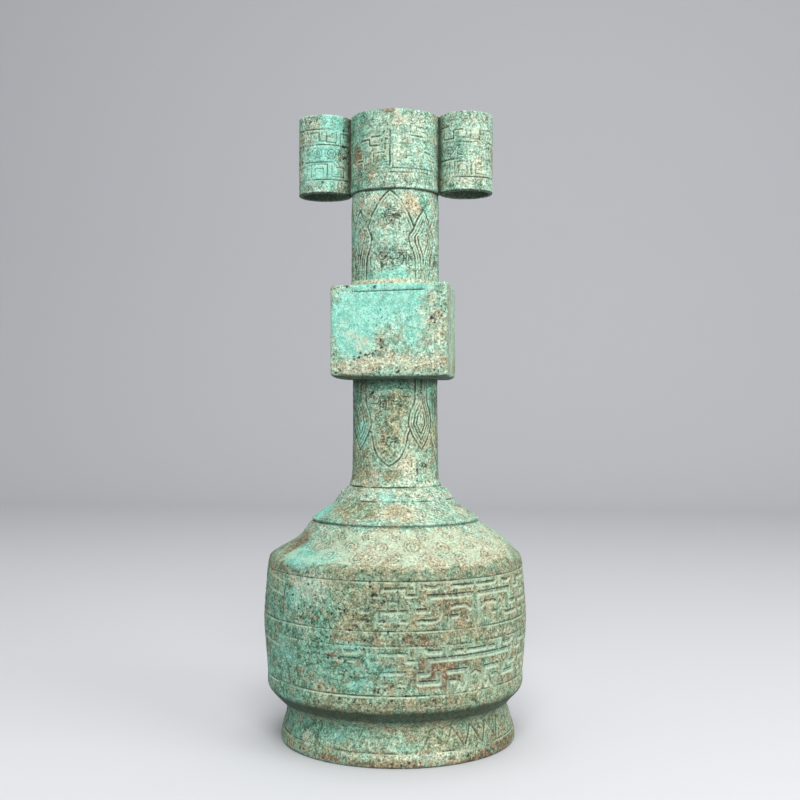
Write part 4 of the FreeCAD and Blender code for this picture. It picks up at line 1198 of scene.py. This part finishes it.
        points = rings(profile)
        skin = Skin(points, np.broadcast_to(np.degrees(turn), points.shape[:2]))
        across, level = points[:, :, 0], points[:, :, 2]
        front = (points[:, :, 1] < -half + 1.2).astype(float)
        line = bell(level - 213.6 - 0.028 * across, 0.3) * front
        skin.cut(line * smooth_step(17.5, 16.0, np.abs(across)), 0.4, 0.9)
        strip = bell(across - 21.5 - 0.4 * skin.noise(8.0, 2, 1150.0), 0.7) * front
        strip = strip * smooth_step(212.0, 208.0, level)
        skin.cut(strip * smooth_step(176.0, 180.0, level), 0.3, 0.35)
        upright = np.abs(skin.normals[:, :, 2]) < 0.5
        skin.lift(skin.noise(18.0, 2, 1200.0) * upright, 0.18)
        skin.curls(0.4, 4.4, 2.0, 1250.0, 0.25)
        skin.scar((-16, 184.5, 9, 2.6, 1.8), (-9, 188, 4, 4, 1.9), (-6, 198, 3.5, 5, 1.4),
                  (-10, 216, 9, 1.6, 1.3), (-35, 216, 3.5, 1.4, 1.3), (40, 202, 3, 12, 0.5),
                  (-32, 177, 10, 2, 1.2), (14, 176.5, 12, 1.6, 1.2), (100, 190, 16, 12, 0.6),
                  (-70, 200, 10, 12, 0.5))
        stripes = (np.abs(across) > half - 1.2) * (0.5 + 0.5 * np.sin(points[:, :, 1] * 1.15))
        skin.mark(Tone.RIM, 0.4 * stripes)
        broken = smooth_step(0.3, 0.7, 0.5 + 0.5 * skin.noise(9.0, 2, 1180.0))
        skin.mark(Tone.RUST, 0.5 * stripes ** 3 * broken)
        patches = (
            areas(Tone.TEAL, (-20, 204, 24, 12, 1.0), (6, 210, 26, 6, 1.0), (-30, 192, 14, 10, 0.9),
                  (22, 196, 14, 10, 0.75), (6, 215, 34, 2.5, 1.0), (80, 196, 20, 18, 0.35),
                  (150, 200, 30, 16, 0.7), (-110, 200, 30, 16, 0.6), (-36, 184, 8, 8, 0.4))
            + areas(Tone.PALE, (34, 200, 14, 16, 0.5), (-12, 180, 44, 6, 0.3), (75, 190, 24, 22, 0.5),
                    (0, top, ALL_ROUND, 1.4, 0.3), (-24, 189, 8, 5, 0.8), (-33, 196, 5, 8, 0.4))
            + areas(Tone.BLUSH, (-28, 179, 20, 5, 0.9), (-6, 193, 8, 6, 0.5), (26, 181, 26, 5, 0.7),
                    (0, 183, 12, 4, 0.5), (41, 194, 4, 16, 0.6))
            + areas(Tone.MOSS, (-9, 194, 8, 9, 0.6), (-42, 200, 5, 22, 0.6), (-34, 214, 12, 3, 0.4),
                    (48, 196, 5, 24, 0.5), (64, 196, 8, 20, 0.6), (-80, 185, 24, 12, 0.5),
                    (120, 184, 30, 10, 0.5), (34, 209, 12, 4, 0.5), (0, 177.5, ALL_ROUND, 3.5, 0.4))
            + areas(Tone.RUST, (-14, 184, 8, 2, 0.3))
            + areas(Tone.PITS, (-15, 184, 14, 3.4, 1.4), (-8, 190, 7, 6, 1.3), (-8, 199, 5, 6, 1.2),
                    (41, 200, 4, 18, 1.2), (-10, 216, 14, 2, 1.2), (-34, 215, 7, 2, 1.2),
                    (-30, 176, 22, 3, 1.3), (16, 176, 28, 2.6, 1.2), (110, 195, 20, 18, 0.6),
                    (-70, 200, 16, 18, 0.5), (0, 180, ALL_ROUND, 5, 0.4))
            + areas(Tone.SHADE, (-26, bottom + 1.0, 26, 1.9, 0.6), (20, bottom + 0.6, 30, 1.3, 0.5),
                    (-10, 184, 7, 1.6, 0.5), (-7, 189.5, 3, 2.4, 0.4), (47, 196, 3, 26, 0.3))
        )
        outer, weights = skin.finish(patches)
        underside = smooth_step(-0.3, -0.75, skin.normals[:, :, 2])
        weights[Tone.SHADE] = np.maximum(weights[Tone.SHADE], underside)
        wall = rings(inner)
        for tone in Tone:
            inside = 1.0 if tone is Tone.SHADE else 0.0
            weights[tone] = np.concatenate([weights[tone], np.full(wall.shape[:2], inside)])
        return mesh_object("block", np.concatenate([outer, wall]), weights)


@dataclass
class Ears:
    """The two open ear tubes and the webs that join them to the collar."""

    material: bpy.types.Material
    step: float = 0.44
    columns: int = 200
    ring_levels: tuple[float, ...] = (292.8, 285.2, 277.0, 268.6)
    web_rows: int = 60
    web_columns: int = 28
    web_width: float = 4.3
    web_depth: float = 2.6

    def build(self) -> int:
        """Makes both tubes and both webs and returns their triangles."""
        return sum(enlist(make(hand), self.material) for hand in Hand for make in (self.tube, self.web))

    def tube(self, hand: Hand) -> bpy.types.Object:
        """One tube about its own axis, carved outside and plain inside, then moved to its side.

        Args:
            hand: side that the tube stands on.

        Returns:
            The new object.
        """
        bottom = LEVEL.mouth - EAR_HEIGHT
        bore = RADIUS.ear - EAR_WALL
        profile = worn_profile([
            (bore + 0.3, bottom), (RADIUS.ear - 0.3, bottom), (RADIUS.ear, bottom + 0.5),
            (RADIUS.ear, LEVEL.mouth - 0.5), (RADIUS.ear - 0.4, LEVEL.mouth),
            (bore + 0.3, LEVEL.mouth)], self.step, 0.6)
        points, angle = turned_points(profile, self.columns)
        skin = Skin(points, angle, hand.value * 100.0)
        per_degree = math.radians(RADIUS.ear)
        wall = smooth_step(bore + 0.9, RADIUS.ear - 0.3, np.hypot(points[:, :, 0], points[:, :, 1]))
        across = angle * per_degree + 0.2 * skin.noise(5.0, 2, 40.0)
        edge = np.minimum(
            edges_of(EAR_UPPER_FRET, across, skin.level - 285.2, per_degree),
            edges_of(EAR_LOWER_FRET, across, skin.level - 268.8, per_degree))
        squares = np.zeros(angle.shape)
        if hand is Hand.RIGHT:
            for place, level, size in ((-5.0, 289.2, 1.5), (22.0, 290.0, 1.6), (-3.0, 273.2, 1.2)):
                reach = np.maximum(np.abs(across - place * per_degree), np.abs(skin.level - level))
                squares = np.maximum(squares, smooth_step(size + 0.3, size - 0.3, reach))
        keep = skin.left_by_wear(0.55, 7.0, 30.0) * wall * (1.0 - squares)
        skin.cut(smooth_step(0.15, -0.3, edge) * keep, 0.4, 0.9)
        skin.mark(Tone.RIM, 0.6 * bell(edge - 0.4, 0.28) * keep)
        for level, units, reach, pitch, start in ((296.6, 12, 2.9, 1.05, 2.0), (281.2, 12, 3.3, 1.15, -8.0),
                                                  (265.4, 12, 2.7, 1.05, 2.0)):
            row = spiral_row(angle, skin.level - level, units, per_degree, reach, pitch, start)
            skin.cut(row * keep, 0.28, 0.8)
        skin.curls(0.8 * keep * smooth_step(0.3, 0.8, edge), 3.0, 2.0, 60.0, 0.65)
        for level in self.ring_levels:
            skin.ring(level, 0.35, 0.95, 0.6, 0.3)
        skin.lift(squares, 0.35)
        skin.mark(Tone.PALE, 0.9 * squares)
        skin.mark(Tone.RIM, 0.6 * squares)
        skin.mark(Tone.LINE, bell(skin.level - bottom - 0.3, 0.6))
        if hand is Hand.LEFT:
            skin.scar((-50, 286, 16, 10, 0.8), (54, 283, 14, 14, 0.9), (-20, 297, 20, 2.5, 0.8),
                      (0, 268, 12, 3, 0.8))
        else:
            skin.scar((60, 274, 14, 6, 0.6), (-14, 286, 8, 3, 0.5))
        if hand is Hand.LEFT:
            patches = (
                areas(Tone.TEAL, (4, 280, 36, 9, 1.0), (10, 271, 34, 6, 0.9), (20, 296, 34, 6, 0.7),
                      (50, 290, 22, 8, 0.6), (-40, 270, 20, 10, 0.4), (170, 280, 60, 20, 0.6))
                + areas(Tone.PALE, (-24, 290, 34, 5, 0.4), (-10, 266, 40, 3, 0.3), (-30, 275, 20, 6, 0.3))
                + areas(Tone.BLUSH, (-34, 291, 16, 4, 0.5), (-30, 298, 16, 3, 0.5), (40, 274, 14, 8, 0.4))
                + areas(Tone.SEA, (-70, 281, 20, 24, 0.6), (70, 281, 16, 24, 0.5))
                + areas(Tone.MOSS, (16, 290, 12, 3, 0.5), (44, 281, 16, 4, 0.6), (-60, 266, 20, 4, 0.4))
                + areas(Tone.PITS, (-50, 285, 30, 20, 0.8), (54, 283, 26, 22, 1.0),
                        (-20, 297, 30, 4, 0.7))
            )
        else:
            patches = (
                areas(Tone.PALE, (30, 282, 50, 22, 0.5), (-10, 266, 30, 3, 0.3))
                + areas(Tone.BLUSH, (30, 272, 26, 10, 0.5), (30, 290, 20, 5, 0.4), (50, 298, 20, 3, 0.3))
                + areas(Tone.SEA, (-14, 284, 9, 16, 0.5), (-60, 280, 20, 24, 0.4),
                        (170, 280, 60, 20, 0.5))
                + areas(Tone.TEAL, (-36, 282, 14, 12, 0.3), (50, 296, 20, 5, 0.2))
                + areas(Tone.MOSS, (-6, 296, 16, 3, 0.4), (80, 281, 14, 24, 0.5), (0, 270, 14, 4, 0.4))
                + areas(Tone.PITS, (60, 280, 30, 24, 0.5), (-6, 290, 20, 8, 0.3))
            )
        crevice = -90.0 * hand.value
        patches += areas(Tone.SHADE, (crevice, 281, 34, 30, 0.8)) + areas(Tone.RUST,
                                                                          (crevice, 281, 30, 26, 0.5))
        inner = [(bore, LEVEL.mouth - 0.4), (bore, bottom + 0.4)]
        return shell(f"{hand.name.lower()}_ear", skin, patches, inner, 3.4, hand.value * EAR_OFFSET)

    def web(self, hand: Hand) -> bpy.types.Object:
        """Web in the crevice between a tube and the collar, an upright bar whose width swells and shrinks.

        Its half width at a share s of the way up is w (1 + 0.05 sin 7 pi s), over an oval plan.

        Args:
            hand: side of the vase.

        Returns:
            The new object.
        """
        rows = np.linspace(LEVEL.mouth - EAR_HEIGHT + 0.8, LEVEL.mouth - 0.9, self.web_rows)[:, None]
        turn = np.linspace(0.0, 2.0 * math.pi, self.web_columns, endpoint=False)[None, :]
        share = (rows - rows[0]) / (rows[-1] - rows[0])
        width = self.web_width * (1.0 + 0.05 * np.sin(7.0 * math.pi * share))
        x = hand.value * (RADIUS.collar - 0.1) + self.web_depth * np.cos(turn) + 0.0 * rows
        points = np.stack([x, width * np.sin(turn), np.broadcast_to(rows, x.shape)], axis=2)
        ones = np.ones(x.shape)
        return mesh_object(
            f"{hand.name.lower()}_ear_web", points,
            {Tone.RUST: ones * 0.8, Tone.SHADE: ones * 0.75, Tone.PITTED: 0.3 * ones}, poles=True)


@dataclass(frozen=True)
class Patina:
    """Colours of the corroded bronze and of its painted shade and highlights, as sRGB shares, and its
    roughness.
    """

    mint: Colour = (0.70, 0.82, 0.74)
    grey_green: Colour = (0.53, 0.63, 0.54)
    turquoise: Colour = (0.61, 0.86, 0.79)
    bright_teal: Colour = (0.45, 0.75, 0.68)
    sea: Colour = (0.50, 0.70, 0.61)
    deep_sea: Colour = (0.27, 0.45, 0.36)
    moss: Colour = (0.64, 0.66, 0.53)
    deep_moss: Colour = (0.39, 0.42, 0.30)
    rust: Colour = (0.54, 0.42, 0.31)
    deep_rust: Colour = (0.36, 0.27, 0.19)
    cream: Colour = (0.78, 0.80, 0.70)
    blush: Colour = (0.72, 0.68, 0.57)
    fawn: Colour = (0.66, 0.59, 0.47)
    # Dark green of the painted shade: inner walls, undersides, crevices and down-facing walls of the relief;
    # it also darkens carved lines.
    crevice: Colour = (0.15, 0.21, 0.15)
    pit: Colour = (0.10, 0.12, 0.10)
    # Pale of rims, also used for painted highlights on up-facing walls, lower lips and bead tops.
    rim: Colour = (0.78, 0.86, 0.74)
    flake: Colour = (0.87, 0.95, 0.90)
    roughness: float = 0.78


def linear(colour: Colour) -> tuple[float, float, float, float]:
    """Linear RGBA of an sRGB colour, by ((c + 0.055) / 1.055)^2.4."""
    return tuple(((c + 0.055) / 1.055) ** 2.4 for c in colour) + (1.0,)


class Finish:
    """Builds a material's nodes."""

    def __init__(self, name: str) -> None:
        """Starts a material with a Principled shader and Object coordinates."""
        self.material = bpy.data.materials.new(name)
        self.material.use_nodes = True
        self.tree = self.material.node_tree
        self.shader = self.tree.nodes["Principled BSDF"]
        self.place = self.tree.nodes.new("ShaderNodeTexCoord").outputs["Object"]

    def attribute(self, tone: Tone) -> bpy.types.NodeSocket:
        """Value of a surface weight."""
        node = self.tree.nodes.new("ShaderNodeAttribute")
        node.attribute_name = tone.value
        return node.outputs["Fac"]

    def noise(self, size: float, detail: float = 3.0, roughness: float = 0.6) -> bpy.types.NodeSocket:
        """Noise whose features are about the given size in millimetres."""
        node = self.tree.nodes.new("ShaderNodeTexNoise")
        node.inputs["Scale"].default_value = 1.0 / (size * MM)
        node.inputs["Detail"].default_value = detail
        node.inputs["Roughness"].default_value = roughness
        self.tree.links.new(self.place, node.inputs["Vector"])
        return node.outputs["Fac"]

    def math(self, kind: str, *values: object) -> bpy.types.NodeSocket:
        """One operation on two or three values, each a socket or a number."""
        node = self.tree.nodes.new("ShaderNodeMath")
        node.operation = kind
        for value, socket in zip(values, node.inputs):
            self.feed(value, socket)
        return node.outputs[0]

    def lit(self, colour: object, value: object, saturation: float) -> bpy.types.NodeSocket:
        """Colour with its brightness multiplied by a value, and its saturation by a number."""
        node = self.tree.nodes.new("ShaderNodeHueSaturation")
        node.inputs["Saturation"].default_value = saturation
        self.feed(value, node.inputs["Value"])
        self.feed(colour, node.inputs["Color"])
        return node.outputs["Color"]

    def ramp(
        self, value: bpy.types.NodeSocket, low: float, high: float, most: float = 1.0
    ) -> bpy.types.NodeSocket:
        """Smooth rise from 0 at low to most at high; low may be the larger."""
        node = self.tree.nodes.new("ShaderNodeMapRange")
        node.interpolation_type = "SMOOTHSTEP"
        turned = low > high
        node.inputs["From Min"].default_value = min(low, high)
        node.inputs["From Max"].default_value = max(low, high)
        node.inputs["To Min"].default_value = most if turned else 0.0
        node.inputs["To Max"].default_value = 0.0 if turned else most
        self.tree.links.new(value, node.inputs["Value"])
        return node.outputs["Result"]

    def mix(self, share: object, a: object, b: object) -> bpy.types.NodeSocket:
        """Colour that goes from a to b; each is an sRGB colour or a socket."""
        node = self.tree.nodes.new("ShaderNodeMix")
        node.data_type = "RGBA"
        self.feed(share, node.inputs[0])
        self.feed(a, node.inputs[6])
        self.feed(b, node.inputs[7])
        return node.outputs[2]

    def feed(self, value: object, socket: bpy.types.NodeSocket) -> None:
        """Links a socket, or sets a number or an sRGB colour."""
        if isinstance(value, bpy.types.NodeSocket):
            self.tree.links.new(value, socket)
        elif isinstance(value, tuple):
            socket.default_value = linear(value)
        else:
            socket.default_value = value


def patinated_bronze(tones: Patina) -> bpy.types.Material:
    """Corroded bronze whose tones follow the surface weights, broken up by grain of several sizes, with
    painted shade and painted highlights.

    Args:
        tones: colours of the patina.

    Returns:
        The material.
    """
    f = Finish("patinated bronze")
    broad = f.noise(9.0, 4.0, 0.65)
    patchy = f.noise(3.6, 5.0, 0.72)
    tint = f.noise(5.4, 4.0, 0.7)
    fine = f.noise(1.3, 3.0, 0.7)
    speck = f.noise(0.75, 2.0, 0.65)
    calm = f.math("MULTIPLY_ADD", f.attribute(Tone.TEAL), -0.65, 1.0)
    mixed = f.math("ADD", f.math("MULTIPLY", broad, 0.5), f.math("MULTIPLY", patchy, 0.5))
    coat = f.mix(f.ramp(patchy, 0.40, 0.58), tones.grey_green, tones.mint)
    layers = (
        (Tone.MOSS, 0.85, 0.36, 0.60, tones.deep_moss, tones.moss),
        (Tone.SEA, 0.85, 0.38, 0.60, tones.deep_sea, tones.sea),
        (Tone.TEAL, 0.85, 0.34, 0.54, tones.bright_teal, tones.turquoise),
        (Tone.RUST, 0.85, 0.40, 0.62, tones.deep_rust, tones.rust),
        (Tone.PALE, 0.80, 0.38, 0.56, tones.mint, tones.cream),
        (Tone.BLUSH, 0.80, 0.42, 0.62, tones.blush, tones.cream),
    )
    for tone, most, low, high, dark, light in layers:
        level = f.math("ADD", f.math("MULTIPLY", f.attribute(tone), 0.7), mixed)
        colour = f.mix(f.ramp(patchy, low, high), dark, light)
        coat = f.mix(f.ramp(level, 0.66, 1.02, most), coat, colour)
    coat = f.mix(f.math("MULTIPLY", f.ramp(tint, 0.51, 0.62, 0.55), calm), coat, tones.fawn)
    coat = f.mix(f.ramp(tint, 0.48, 0.38, 0.45), coat, tones.sea)
    rough = f.math("MULTIPLY_ADD", fine, 3.2, f.math("MULTIPLY", speck, 2.6))
    grain = f.math("MULTIPLY_ADD", f.math("SUBTRACT", rough, 2.9), calm, 1.0)
    coat = f.lit(coat, f.math("MAXIMUM", grain, 0.3), 1.08)
    fill = f.mix(f.ramp(fine, 0.4, 0.6), tones.sea, tones.mint)
    coat = f.mix(f.math("MULTIPLY", f.attribute(Tone.FILL), 0.7), coat, fill)
    # Painted highlight on up-facing walls and painted shade on down-facing walls of the relief.
    coat = f.mix(f.ramp(f.attribute(Tone.LEDGE_HIGHLIGHT_SHADE), 0.15, 0.8, 0.45), coat, tones.rim)
    coat = f.mix(f.ramp(f.attribute(Tone.LEDGE_HIGHLIGHT_SHADE), -0.15, -0.8, 0.65), coat, tones.crevice)
    # Pale rims and dark lines, which include painted highlights on lower lips and painted shade on upper
    # walls.
    coat = f.mix(f.ramp(f.attribute(Tone.RIM), 0.12, 0.8, 0.85), coat, tones.rim)
    coat = f.mix(f.ramp(f.attribute(Tone.LINE), 0.12, 0.8, 0.9), coat, tones.crevice)
    coat = f.mix(f.ramp(speck, 0.60, 0.70, 0.55), coat, tones.flake)
    coat = f.mix(f.ramp(speck, 0.39, 0.30, 0.7), coat, tones.pit)
    coat = f.mix(f.ramp(f.attribute(Tone.PITTED), 0.1, 0.5, 0.9), coat, tones.pit)
    coat = f.mix(f.math("MULTIPLY", f.attribute(Tone.SHADE), 0.88), coat, tones.crevice)
    f.tree.links.new(coat, f.shader.inputs["Base Color"])
    f.shader.inputs["Roughness"].default_value = tones.roughness
    f.shader.inputs["Specular IOR Level"].default_value = 0.3
    bump = f.tree.nodes.new("ShaderNodeBump")
    bump.inputs["Strength"].default_value = 0.75
    bump.inputs["Distance"].default_value = 0.4 * MM
    relief = f.math("ADD", f.math("MULTIPLY", fine, 0.7), f.math("MULTIPLY", speck, 0.6))
    f.tree.links.new(relief, bump.inputs["Height"])
    f.tree.links.new(bump.outputs["Normal"], f.shader.inputs["Normal"])
    return f.material


@dataclass
class Studio:
    """Pale floor and backdrop, soft lamps and the camera at the photograph's angle."""

    floor_tone: Colour = (0.84, 0.84, 0.85)
    camera_place: Place = (66.9, -575.8, 162.7)
    lens: float = 53.46
    sensor: float = 36.0
    bend_radius: float = 0.5
    depth: float = 1.2
    backdrop_top: float = 3.0
    aim: Place = (0.0, 0.0, 0.15)
    world_tone: Colour = (0.93, 0.95, 0.97)
    world_strength: float = 0.40

    def build(self) -> None:
        """Makes the set, the lamps and the camera."""
        self.sweep()
        self.lamps()
        self.camera()

    def sweep(self) -> None:
        """Floor that bends up into a backdrop: a strip swept across, its bend a quarter circle."""
        radius = self.bend_radius
        bend = np.radians(np.linspace(0, 90, 24))
        curve = np.stack([self.depth + radius * np.sin(bend), radius - radius * np.cos(bend)], axis=1)
        line = np.concatenate([[[-2.5, 0.0]], curve, [[self.depth + radius, self.backdrop_top]]])
        across = np.array([-4.0, 4.0])
        points = np.stack([
            np.broadcast_to(across, (len(line), 2)), np.broadcast_to(line[:, :1], (len(line), 2)),
            np.broadcast_to(line[:, 1:], (len(line), 2))], axis=2)
        index = np.arange(len(line) * 2).reshape(-1, 2)
        faces = np.stack([index[:-1, 0], index[:-1, 1], index[1:, 1], index[1:, 0]], axis=1)
        mesh = bpy.data.meshes.new("sweep")
        mesh.from_pydata(points.reshape(-1, 3), [], faces.tolist())
        mesh.shade_smooth()
        item = bpy.data.objects.new("sweep", mesh)
        bpy.context.scene.collection.objects.link(item)
        finish = Finish("pale backdrop")
        finish.shader.inputs["Base Color"].default_value = linear(self.floor_tone)
        finish.shader.inputs["Roughness"].default_value = 0.9
        mesh.materials.append(finish.material)

    def lamp(self, name: str, place: Place, size: float, power: float) -> None:
        """Square area lamp that points from its place at the middle of the vase.

        Args:
            name: name of the lamp.
            place: where it hangs, in metres.
            size: side of the square, in metres.
            power: strength in watts.
        """
        data = bpy.data.lights.new(name, "AREA")
        data.size = size
        data.energy = power
        item = bpy.data.objects.new(name, data)
        bpy.context.scene.collection.objects.link(item)
        item.location = place
        way = np.array(self.aim) - np.array(place)
        tilt = math.atan2(math.hypot(way[0], way[1]), -way[2])
        item.rotation_euler = (tilt, 0.0, math.atan2(-way[0], way[1]))

    def lamps(self) -> None:
        """Soft key from before and above, a top lamp, a fill from the right and a plain world."""
        self.lamp("key", (0.15, -1.05, 1.2), 0.7, 15.0)
        self.lamp("top", (0.0, 0.1, 1.5), 0.8, 7.0)
        self.lamp("fill", (1.1, -0.6, 0.5), 0.8, 8.0)
        world = bpy.data.worlds.new("studio")
        world.use_nodes = True
        world.node_tree.nodes["Background"].inputs["Color"].default_value = linear(self.world_tone)
        world.node_tree.nodes["Background"].inputs["Strength"].default_value = self.world_strength
        bpy.context.scene.world = world

    def camera(self) -> None:
        """Camera level with the lower neck, turned to look a little to the left of straight ahead."""
        data = bpy.data.cameras.new("camera")
        data.sensor_width = self.sensor
        data.sensor_fit = "HORIZONTAL"
        data.lens = self.lens
        data.clip_start = 0.05
        item = bpy.data.objects.new("camera", data)
        bpy.context.scene.collection.objects.link(item)
        item.location = tuple(value * MM for value in self.camera_place)
        item.rotation_euler = (math.pi / 2, 0.0, math.radians(CAMERA_TURN))
        bpy.context.scene.camera = item


def main() -> None:
    """Builds the finish, the pieces of the vase and the studio."""
    logging.basicConfig(level=logging.INFO, format="%(name)s: %(message)s")
    material = patinated_bronze(Patina())
    triangles = sum(group.build() for group in (Body(material), Necks(material), Ears(material)))
    log.info("in all: %d triangles", triangles)
    Studio().build()
    bpy.context.scene.view_settings.view_transform = "Standard"


if __name__ == "__main__":
    main()
